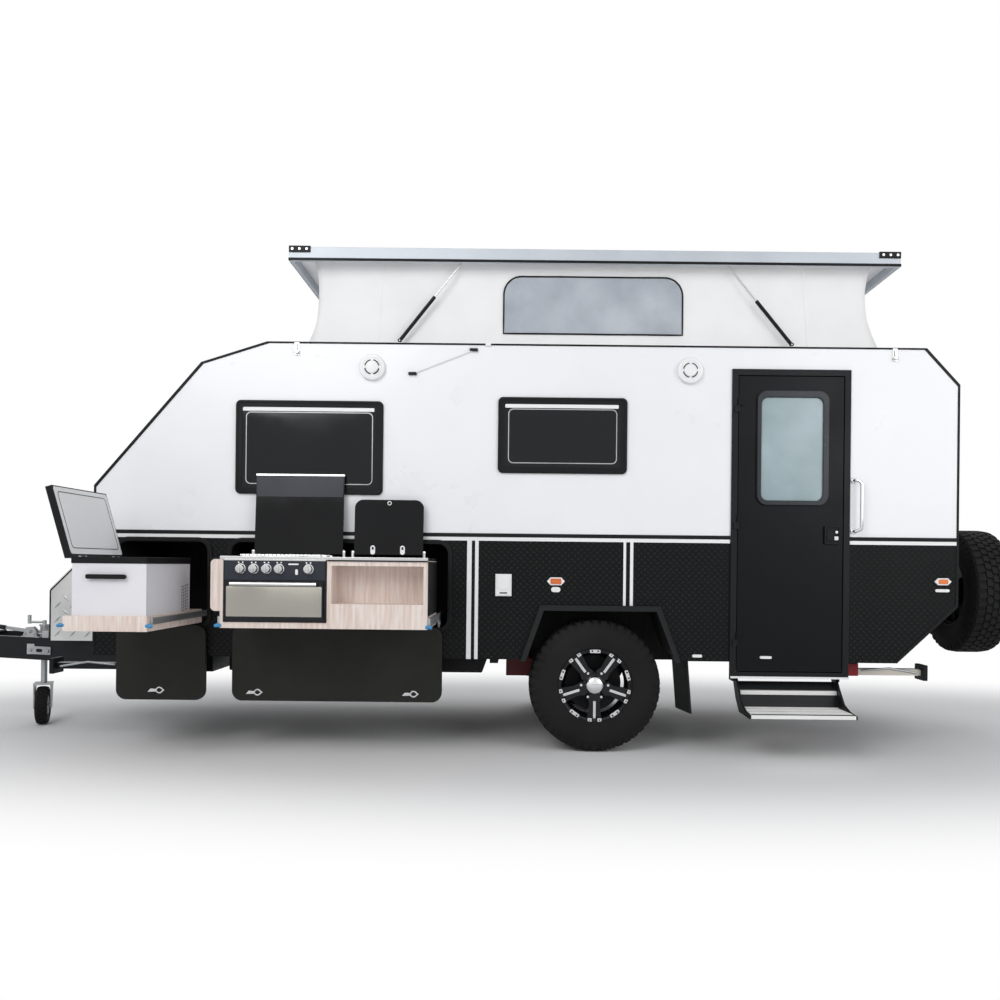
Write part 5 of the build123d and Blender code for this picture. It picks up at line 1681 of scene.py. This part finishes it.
def dress_nodes(nodes: dict[str, bpy.types.Object]) -> None:
    """Gives every carried-over solid its finish and rounded edges.

    Args:
        nodes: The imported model's nodes by name.
    """
    f = Finishes
    table: tuple[tuple[Finish, float, tuple[str, ...]], ...] = (
        (f.GELCOAT, 0, ("side_walls_upper", "end_walls_upper", "roof_deck")),
        (f.TREAD_BLACK, 0, ("side_walls_lower", "end_walls_lower")),
        (f.PLY, 0, ("floor", "hatch_liners")),
        (f.ABS_BLACK, 2, ("window_frames", "hatch_frames")),
        (f.ARCH_GREY, 2, ("arch_trims",)),
        (f.HATCH_BLACK, 4, ("hatch_doors",)),
        (f.POWDER, 2, (
            "coupling", "spare_carrier", "drawbar_rails", "main_rails", "crossmembers",
            "spring_units", "door_frame", "stabiliser_front_near", "stabiliser_front_far",
            "strut_barrels_front", "strut_barrels_rear", "entry_step",
        )),
        (f.DOOR_BLACK, 2, ("door_leaf",)),
        (f.RED_ENAMEL, 3, ("trailing_arms",)),
        (f.GALVANISED, 1.5, ("slide_runners", "handbrake", "jockey_post", "jockey_fork")),
        (f.ZINC_PLATED, 1.5, ("stabiliser_rear_near", "stabiliser_rear_far")),
        (f.STAINLESS, 1, ("kitchen_bench", "strut_rods_front", "strut_rods_rear")),
        (f.ALU_BRIGHT, 2, ("toolbox", "toolbox_lid")),
        (f.ALU_GREY, 2, ("pop_top",)),
        (f.TANK, 8, ("water_tanks",)),
        (f.BOARD, 1, ("kitchen_cabinet", "fridge_tray")),
        (f.ENAMEL, 1.5, ("oven", "oven_door")),
        (f.BLACK_GLASS, 1, ("hob_lid", "sink_lid")),
        (f.ACRYLIC, 0, ("window_panes",)),
        (f.FROSTED, 0, ("door_pane",)),
        (f.FRIDGE_WHITE, 4, ("fridge",)),
        (f.ABS_BLACK, 5, ("fridge_lid",)),
        (f.ABS_WHITE, 2, ("wall_fittings",)),
        (f.CHROME, 1, ("grab_handle",)),
        (f.ABS_WHITE, 1.5, ("side_markers",)),
        (f.RED_LENS, 3, ("tail_lamps",)),
        (f.CANVAS, 0, ("canvas",)),
        (f.TYRE, 0, ("near_tyre", "far_tyre", "spare_tyres", "jockey_wheel")),
        (f.ALLOY_BLACK, 0, ("near_rim", "far_rim", "spare_rims")),
    )
    for finish, width, names in table:
        for name in names:
            item = nodes[name]
            item.data.materials.clear()
            item.data.materials.append(finish.material())
            if width:
                weld = item.modifiers.new("weld", "WELD")
                weld.merge_threshold = 0.01 * MM
                flat = item.modifiers.new("flat", "DECIMATE")
                flat.decimate_type = "DISSOLVE"
                flat.angle_limit = math.radians(0.5)
                round_edges(item, width)
                normals = item.modifiers.new("normals", "WEIGHTED_NORMAL")
                normals.weight = 100
                normals.keep_sharp = True
            LOG.info("%s: %s", name, finish.name)


@dataclass
class Studio:
    """The pale floor, soft lamps and the camera at the photograph's place."""

    eye: Triple = (-450.0, -6500.0, 1130.0)
    lens: float = 32.4
    shift: Pair = (-0.022, 0.065)
    roll: float = -0.6
    floor_tone: str = "F4F4F4"
    floor_shape: Triple = (0.45, 1.0, 1.0)
    floor_fade: Pair = (1.7, 3.3)  # metres across from the trailer

    def build(self) -> None:
        """Sets the stage."""
        self.floor()
        self.light()
        self.camera()
        bpy.context.scene.view_settings.view_transform = "Standard"

    def shown_white(self, tree: bpy.types.NodeTree, light: bpy.types.NodeSocket) -> None:
        """Shows plain white to the camera, to gloss and through glass, and a light to the rest.

        Args:
            tree: The world's nodes.
            light: The shader that lights the trailer.
        """
        path = add_node(tree, "ShaderNodeLightPath", {})
        rays = path.outputs["Is Camera Ray"]
        for name in ("Is Glossy Ray", "Is Transmission Ray"):
            rays = add_node(
                tree, "ShaderNodeMath", {"operation": "MAXIMUM"}, {0: rays, 1: path.outputs[name]}
            ).outputs[0]
        white = add_node(tree, "ShaderNodeBackground", {"Color": (1, 1, 1, 1), "Strength": 1.0})
        mix = add_node(tree, "ShaderNodeMixShader", {}, {0: rays, 1: light, 2: white.outputs[0]})
        add_node(tree, "ShaderNodeOutputWorld", {}, {0: mix.outputs[0]})

    def floor(self) -> None:
        """Lays the floor."""
        shape = bmesh.new()
        bmesh.ops.create_grid(shape, x_segments=1, y_segments=1, size=40.0)
        data = bpy.data.meshes.new("studio_floor")
        shape.to_mesh(data)
        shape.free()
        floor = bpy.data.objects.new("studio_floor", data)
        floor.location = place(0, 0, -1)
        bpy.context.scene.collection.objects.link(floor)
        paint = bpy.data.materials.new("floor_paint_matt")
        paint.use_nodes = True
        shader = paint.node_tree.nodes["Principled BSDF"]
        shader.inputs["Base Color"].default_value = linear(self.floor_tone)
        shader.inputs["Roughness"].default_value = 0.9
        data.materials.append(paint)
        self.fade(paint.node_tree, shader)

    def fade(self, tree: bpy.types.NodeTree, shader: bpy.types.Node) -> None:
        """Lets the floor run out to white away from the trailer, and be seen through from below.

        Args:
            tree: The floor's nodes.
            shader: Its surface shader.
        """
        spot = add_node(tree, "ShaderNodeTexCoord", {}).outputs["Object"]
        drawn = add_node(
            tree, "ShaderNodeVectorMath", {"operation": "MULTIPLY", 1: self.floor_shape}, {0: spot}
        ).outputs[0]
        away = add_node(
            tree, "ShaderNodeVectorMath", {"operation": "LENGTH"}, {0: drawn}
        ).outputs["Value"]
        near, wide = self.floor_fade
        share = add_node(
            tree, "ShaderNodeMapRange",
            {"interpolation_type": "SMOOTHSTEP", "From Min": near, "From Max": wide},
            {"Value": away},
        ).outputs[0]
        rays = add_node(tree, "ShaderNodeLightPath", {}).outputs["Is Camera Ray"]
        seen = add_node(
            tree, "ShaderNodeMath", {"operation": "MULTIPLY"}, {0: share, 1: rays}
        ).outputs[0]
        white = add_node(
            tree, "ShaderNodeEmission", {"Color": (1, 1, 1, 1), "Strength": 1.0}
        ).outputs[0]
        mix = add_node(
            tree, "ShaderNodeMixShader", {}, {0: seen, 1: shader.outputs[0], 2: white}
        ).outputs[0]
        under = add_node(tree, "ShaderNodeNewGeometry", {}).outputs["Backfacing"]
        clear = add_node(tree, "ShaderNodeBsdfTransparent", {}).outputs[0]
        both = add_node(tree, "ShaderNodeMixShader", {}, {0: under, 1: mix, 2: clear}).outputs[0]
        tree.links.new(both, tree.nodes["Material Output"].inputs["Surface"])

    def light(self) -> None:
        """Hangs the soft lamps and sets the world."""
        world = bpy.data.worlds.new("studio")
        bpy.context.scene.world = world
        world.use_nodes = True
        tree = world.node_tree
        tree.nodes.clear()
        soft = add_node(tree, "ShaderNodeBackground", {"Color": linear("F4F6FA"), "Strength": 0.5})
        self.shown_white(tree, soft.outputs[0])
        for name, spot, aim, size, power in (
            ("key", (-3500, -7500, 5200), (-400, -600, 1300), 4.5, 215.0),
            ("fill", (4500, -6500, 3200), (200, -600, 1200), 4.0, 105.0),
            ("back", (0, 6500, 5200), (0, 0, 1500), 5.0, 150.0),
        ):
            lamp = bpy.data.lights.new(name, "AREA")
            lamp.shape, lamp.size, lamp.energy = "DISK", size, power
            item = bpy.data.objects.new(name, lamp)
            item.location = place(*spot)
            item.rotation_euler = (place(*aim) - item.location).to_track_quat("-Z", "Y").to_euler()
            bpy.context.scene.collection.objects.link(item)

    def camera(self) -> None:
        """Stands the camera where the photograph was taken from."""
        data = bpy.data.cameras.new("camera")
        data.lens, data.sensor_width = self.lens, 36.0
        data.shift_x, data.shift_y = self.shift
        item = bpy.data.objects.new("camera", data)
        item.location = place(*self.eye)
        item.rotation_euler = (math.radians(90), math.radians(self.roll), 0)
        bpy.context.scene.collection.objects.link(item)
        bpy.context.scene.camera = item


def main() -> None:
    """Builds and dresses the trailer, piece by piece."""
    logging.basicConfig(level=logging.INFO, format="%(name)s %(message)s")
    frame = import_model()
    dress_nodes(frame["nodes"])
    assemblies = (
        Shell, Windows, EntryDoor, PopTop, Kitchen, Fridge, Hatches, Drawbar, RunningGear,
        GroundGear, Tail, Studio,
    )
    for assembly in assemblies:
        assembly().build()


if __name__ == "__main__":
    main()
